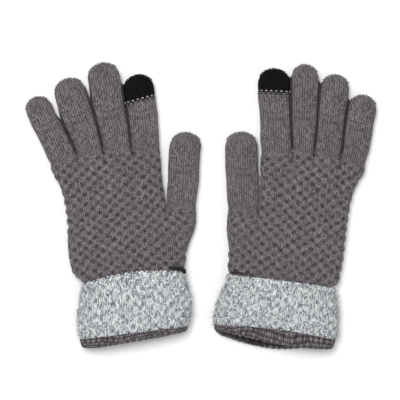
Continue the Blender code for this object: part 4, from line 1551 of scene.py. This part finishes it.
    def hem(self, material: bpy.types.Material) -> bpy.types.Object:
        """The hem band: from under the cuff, round the rolled end, and back inside the wrist.

        Args:
            material: the yarn.
        Returns:
            The finished object.
        """
        lay = self.lay
        bottom, end = lay.cuff_bottom[0], lay.hem_end[0]
        thick = CUFF_WALL + LAYER_SPACE + WALL
        radius = thick / 2             # of the rolled end
        turn = np.linspace(0.0, math.pi, 15)[1:-1]
        tucked = np.array((bottom + 2.4, bottom + 1.2))
        outside = np.linspace(bottom + 0.6, end + radius, 8)
        round_v = end + radius * (1.0 - np.sin(turn))
        round_in = radius * (1.0 - np.cos(turn))
        inside = np.linspace(end + radius, bottom + 7.0, 12)
        back = np.array((bottom + 7.2, bottom + 4.0, bottom + 2.4))
        v = np.concatenate((tucked, outside, round_v, inside, back))
        inset = np.concatenate(((1.5, 1.0), np.linspace(0.35, 0.0, 8), round_in,
                                np.full(12, thick), (thick - 0.8, 2.4, 1.5)))
        amount, centre, reach = lay.gape
        arch = lay.hem_arch * ease((v - end) / (bottom - end))[:, None]
        near_end = ease((bottom - v) / (bottom - end))[:, None]
        opens = ease((bottom + 3.0 - v) / 6.0)[:, None]
        low_until, low_over = 3.5, 5.0     # mm of height that run out in full, and then less

        def lead(x: np.ndarray, z: np.ndarray) -> np.ndarray:
            """The end's bow on top, its tilt, the line's arch, and the lower layer's run-out.

            Args:
                x: places across, from -1 to 1.
                z: heights in mm.
            Returns:
                How far each point runs ahead, in mm.
            """
            bow = lay.end_bow * z / CUFF_HEIGHT * (1.0 - x ** 2) * near_end
            low = 1.0 - ease((z - low_until) / low_over)
            gape = -amount * low * np.clip(1.0 - ((x - centre) / reach) ** 2, 0.0, 1.0)
            tilt = -lay.hem_tilt * ease((0.5 - x) / 1.5) * near_end
            return bow + tilt + arch * z / CUFF_HEIGHT * (1.0 - x ** 2) + gape * opens

        sides = self.shell(v, inset, lead)
        for points in sides:
            points[-1] = points[0]
        length = np.concatenate(([0.0], np.cumsum(np.hypot(np.diff(v), np.diff(inset)))))
        self.shade_from = float(length[len(tucked) + len(outside) + 8])
        stitches = self.stitch_places(sides[0], length)
        basket = ease(length / 2.0) * ease((length[-1] - length) / 2.0)
        basket[-1] = 0.0
        knit = Knit(lay, f"{lay.name}_hem_knit")
        for points in sides:
            knit.add(points, stitches, basket[:, None])
        made = knit.finish(self.hem_relief, material)
        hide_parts(f"{lay.name}_hem_band")
        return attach(made, lay.body("hand"))

    def hem_relief(self, stitches: np.ndarray, basket: np.ndarray) -> tuple[np.ndarray, np.ndarray]:
        """Tight purl bumps; past the rolled end the cloth is in shade.

        Args:
            stitches: wale and course of each point.
            basket: share of the bumps' relief at each point.
        Returns:
            Height in mm, and shade from about -1 to 1.
        """
        height, tone = basket_relief(stitches, basket, self.hem_depth, self.hem_block,
                                     self.lay.seed + 6.0)
        slow = drift(stitches[:, 0] * 0.3, stitches[:, 1] * 0.3, self.lay.seed + 2.0)
        inside = ease((stitches[:, 1] * self.block / BLOCK - self.shade_from) / 2.0)
        return height + 0.2 * slow * basket, mix(0.5 * tone + 0.12, IN_SHADE, inside)

    def elastic(self, material: bpy.types.Material) -> bpy.types.Object:
        """The ring of elastic between the two layers: a flat band with ribs that run round it.

        Args:
            material: the covered elastic.
        Returns:
            The finished object.
        """
        lay = self.lay
        top = lay.cuff_top[0] - ELASTIC_BELOW_EDGE
        near, far = CUFF_WALL + GAP, CUFF_WALL + GAP + ELASTIC_THICKNESS
        ribs, depth, rows = 6, 0.12, 19
        out = np.linspace(top - ELASTIC_WIDTH, top, rows)
        rib = depth * np.cos(np.linspace(0.0, 2 * ribs * math.pi, rows))
        v = np.concatenate((out, out[::-1], out[:1]))
        inset = np.concatenate((near - rib, far + rib[::-1], near - rib[:1]))
        sides = self.shell(v, inset, lambda x, z: np.zeros_like(z))
        for points in sides:
            points[-1] = points[0]
        length = np.arange(len(v)) * 0.35
        knit = Knit(lay, f"{lay.name}_elastic_ring")
        for points in sides:
            places = np.stack(np.broadcast_arrays(
                np.linspace(0.0, 60.0, self.columns + 1)[None, :],
                length[:, None] * 6.0), axis=-1)
            knit.add(points, places, 0.0)
        made = knit.finish(lambda stitches, basket: (basket, basket), material)
        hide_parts(f"{lay.name}_wrist_elastic")
        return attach(made, lay.body("hand"))

    def loops(self, material: bpy.types.Material) -> bpy.types.Object:
        """The loops of the cuff's free edge, each an arch that stands out from the rim.

        An arch is half an ellipse on two short legs, laid in the cuff's own slope.

        Args:
            material: the yarn.
        Returns:
            The finished object.
        """
        lay = self.lay
        v = lay.cuff_top[0]
        scalloped = lay.edge is Edge.SCALLOPED
        top_curve = self.shell(np.array((v - 0.6,)), np.array((0.7,)),
                               self.bowed(np.array(((lay.edge_bow,),))))
        back_curve = self.shell(np.array((v - 3.6,)), np.array((0.3,)),
                                self.bowed(np.array(((lay.edge_bow * 0.95,),))))
        height, radius = (1.9, 0.62) if scalloped else (1.2, 0.46)
        turn = np.linspace(0.0, math.pi, 7)
        paths = []
        for rim, back in zip(top_curve, back_curve):
            rim, back = rim[0], back[0]
            run = np.concatenate(([0.0], np.cumsum(np.linalg.norm(np.diff(rim, axis=0), axis=1))))
            count = round(run[-1] / lay.loop_pitch)
            number = np.arange(count)
            middle = (number + 0.5 + 0.16 * (scatter(number, number, lay.seed) - 0.5)) / count
            width = 0.37 * lay.loop_pitch * (0.9 + 0.2 * scatter(number, number + 3, lay.seed))
            for place, wide in zip(middle * run[-1], width):
                spots = [np.array([np.interp(at, run, curve[:, axis]) for axis in range(3)])
                         for curve in (rim, back) for at in (place - wide, place, place + wide)]
                left, centre, right, foot_left, _, foot_right = spots
                ahead = centre - (foot_left + foot_right) / 2
                ahead = ahead / np.linalg.norm(ahead)
                arch = (centre + np.cos(turn)[:, None] * (left - right) / 2
                        + np.sin(turn)[:, None] * ahead * height)
                paths.append(np.vstack((mix(foot_left, left, 0.3), mix(foot_left, left, 0.7), arch,
                                        mix(foot_right, right, 0.7), mix(foot_right, right, 0.3))))
        made = strands(lay, f"{lay.name}_cuff_loops", np.array(paths), radius, 6, material,
                       spacing=4.0)
        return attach(made, lay.body("hand"))

    def hairs(self, material: bpy.types.Material, count: int) -> bpy.types.Object:
        """Loose fibres of the brushed yarn: thin curved prisms that stand out from the cuff.

        Args:
            material: the yarn.
            count: how many fibres.
        Returns:
            The finished object.
        """
        lay = self.lay
        chance = np.random.default_rng(int(lay.seed) + 40)
        bottom, top = lay.cuff_bottom[0], lay.cuff_top[0]
        rows = chance.uniform(bottom, top, count)
        steps = 60
        grid = self.shell(np.linspace(bottom, top, steps), np.zeros(steps), self.bowed(
            lay.edge_bow * ease((np.linspace(0, 1, steps)[:, None] - 0.35) / 0.65)))[0]
        row = np.clip(((rows - bottom) / (top - bottom) * (steps - 1)).astype(int), 0, steps - 2)
        edge_bias = chance.uniform(-1.0, 1.0, count)
        column = ((np.sign(edge_bias) * np.abs(edge_bias) ** 0.35 + 1) / 2
                  * (grid.shape[1] - 2)).astype(int)
        foot = grid[row, column]
        across = grid[row, column + 1] - foot
        up = grid[row + 1, column] - foot
        out = np.cross(across, up)
        out = out / np.linalg.norm(out, axis=1, keepdims=True)
        sideways = chance.normal(0.0, 1.0, (count, 3))
        length = chance.uniform(0.6, 1.7, count)[:, None]
        t = np.linspace(0.0, 1.0, 4)[None, :, None]
        bend = sideways[:, None, :] * t * 0.7 + sideways[:, None, ::-1] * t ** 2 * 0.6
        paths = foot[:, None, :] + (out[:, None, :] * t * 1.1 + bend) * length[:, None, :]
        paths[:, 0] -= out * 0.6
        made = strands(lay, f"{lay.name}_cuff_fibres", paths, 0.06, 3, material)
        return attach(made, lay.body("hand"))

    def tack(self, material: bpy.types.Material) -> bpy.types.Object:
        """The tack thread along the cuff's free edge: strands wound round a common path.

        Formula: each strand is a helix of three turns round the path, of half its thickness.

        Args:
            material: the thread.
        Returns:
            The finished object.
        """
        lay, steps, turns = self.lay, 40, 3.0
        thickness, begin = lay.tack
        radius = thickness / 2
        v, outer, inner = lay.cuff_top
        middle, half = (outer + inner) / 2, (inner - outer) / 2
        share = np.linspace(begin, 1.03, steps)
        rim = lay.edge_bow * (1.0 - np.minimum(share, 1.0) ** 2)
        past = np.maximum(0.0, (share - 0.62) / 0.38)
        drop = HAND_HEIGHT * 0.34 * past ** 2.2
        path = np.stack((middle + half * share, v + radius + 2.3 + rim - 2.2 * past ** 8,
                         HAND_HEIGHT + radius + GAP + 1.0 - drop), axis=-1)
        thin, thick, count = (0.35, 1.85, 4) if lay.edge is Edge.SCALLOPED else (0.2, 0.95, 2)
        grow = np.linspace(thin, thick, steps)
        grow = grow * ease(np.linspace(0.0, 8.0, steps) + 0.2) * ease(np.linspace(5.0, 0.3, steps))
        along = np.gradient(path, axis=0)
        along /= np.linalg.norm(along, axis=1, keepdims=True)
        side = np.cross(along, np.array((0.0, 0.0, 1.0)))
        side /= np.linalg.norm(side, axis=1, keepdims=True)
        up = np.cross(side, along)
        paths = []
        for number in range(count):
            angle = 2 * math.pi * (number / count + np.linspace(0.0, turns, steps))
            off = radius * 0.55 * grow
            paths.append(path + side * (np.cos(angle) * off)[:, None]
                         + up * (np.sin(angle) * off)[:, None])
        made = strands(lay, f"{lay.name}_tack_strands", np.array(paths),
                       np.broadcast_to(radius * 0.5 * grow, (count, steps)), 8, material,
                       spacing=40.0)
        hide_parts(f"{lay.name}_tack_thread")
        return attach(made, lay.body("hand"))


# ---------------------------------------------------------------- the glove and the studio

@dataclass
class Glove:
    """One glove: hand, digits and wrist."""
    lay: Lay

    def build(self, yarns: dict[str, bpy.types.Material]) -> None:
        """Make every piece; all but the digits' near and far skins are attached to the glove's bodies.

        Args:
            yarns: materials by name.
        """
        lay = self.lay
        Hand(lay).build(yarns["grey"])
        for index, digit in enumerate(lay.fingers):
            DigitSkin(lay, digit, lay.finger_root(index)).build(yarns)
        DigitSkin(lay, lay.thumb, lay.thumb_place).build(yarns)
        wrist = Wrist(lay)
        wrist.cuff(yarns["marl"])
        wrist.hem(yarns["hem"])
        wrist.elastic(yarns["elastic"])
        wrist.loops(yarns["marl"])
        wrist.hairs(yarns["marl"], count=1100)
        wrist.tack(yarns["tack"])


@dataclass(frozen=True)
class Studio:
    """White floor, soft overhead light and a camera that looks straight down."""
    view_width: float = 0.312      # metres across the picture at the gloves
    centre: tuple = (-0.00086, 0.00395)    # metres, below the camera
    camera_height: float = 1.60
    glove_level: float = 0.009     # height at which the picture's width is measured
    floor_size: float = 4.0
    lamps: tuple = (("overhead", (-0.35, 0.45, 1.6), 1.0, 24.0),    # name, place and side in
                    ("fill", (0.9, -0.7, 1.2), 1.0, 4.0))           # metres, watts
    room_light: float = 0.45       # strength of the white world

    def build(self) -> None:
        """Make the floor, the lights, the world and the camera."""
        size = self.floor_size / 2
        mesh = bpy.data.meshes.new("studio_floor")
        mesh.from_pydata([(-size, -size, 0), (size, -size, 0), (size, size, 0), (-size, size, 0)],
                         [], [(0, 1, 2, 3)])
        floor = bpy.data.objects.new("studio_floor", mesh)
        material = bpy.data.materials.new("white_card")
        material.use_nodes = True
        shader = material.node_tree.nodes["Principled BSDF"]
        shader.inputs["Base Color"].default_value = srgb("f4f4f6")
        shader.inputs["Roughness"].default_value = 0.9
        mesh.materials.append(material)
        bpy.context.scene.collection.objects.link(floor)
        for name, place, side, watts in self.lamps:
            lamp = bpy.data.lights.new(name, "AREA")
            lamp.shape, lamp.size, lamp.energy = "SQUARE", side, watts
            made = bpy.data.objects.new(name, lamp)
            made.location = place
            aim = -np.array(place)
            made.rotation_euler = (math.atan2(math.hypot(aim[0], aim[1]), -aim[2]), 0.0,
                                   math.atan2(aim[0], -aim[1]) + math.pi)
            bpy.context.scene.collection.objects.link(made)
        world = bpy.data.worlds.new("white_room")
        world.use_nodes = True
        sky = world.node_tree.nodes["Background"]
        sky.inputs["Color"].default_value = (1.0, 1.0, 1.0, 1.0)
        sky.inputs["Strength"].default_value = self.room_light
        bpy.context.scene.world = world
        bpy.context.scene.view_settings.view_transform = "Standard"
        camera = bpy.data.cameras.new("camera")
        camera.lens = camera.sensor_width * (self.camera_height - self.glove_level) / self.view_width
        seen = bpy.data.objects.new("camera", camera)
        seen.location = (*self.centre, self.camera_height)
        bpy.context.scene.collection.objects.link(seen)
        bpy.context.scene.camera = seen


def main() -> None:
    """Build the studio, the yarns and the pair."""
    logging.basicConfig(level=logging.INFO, format="%(name)s: %(message)s")
    Studio().build()
    yarns = {"grey": GREY_YARN.make(), "link": LINK_YARN.make(), "touch": TOUCH_YARN.make(),
             "marl": MARL_YARN.make(), "hem": HEM_YARN.make(), "tack": TACK_THREAD.make(),
             "elastic": WRIST_RUBBER.make()}
    for lay in (LEFT, RIGHT):
        Glove(lay).build(yarns)


if __name__ == "__main__":
    main()
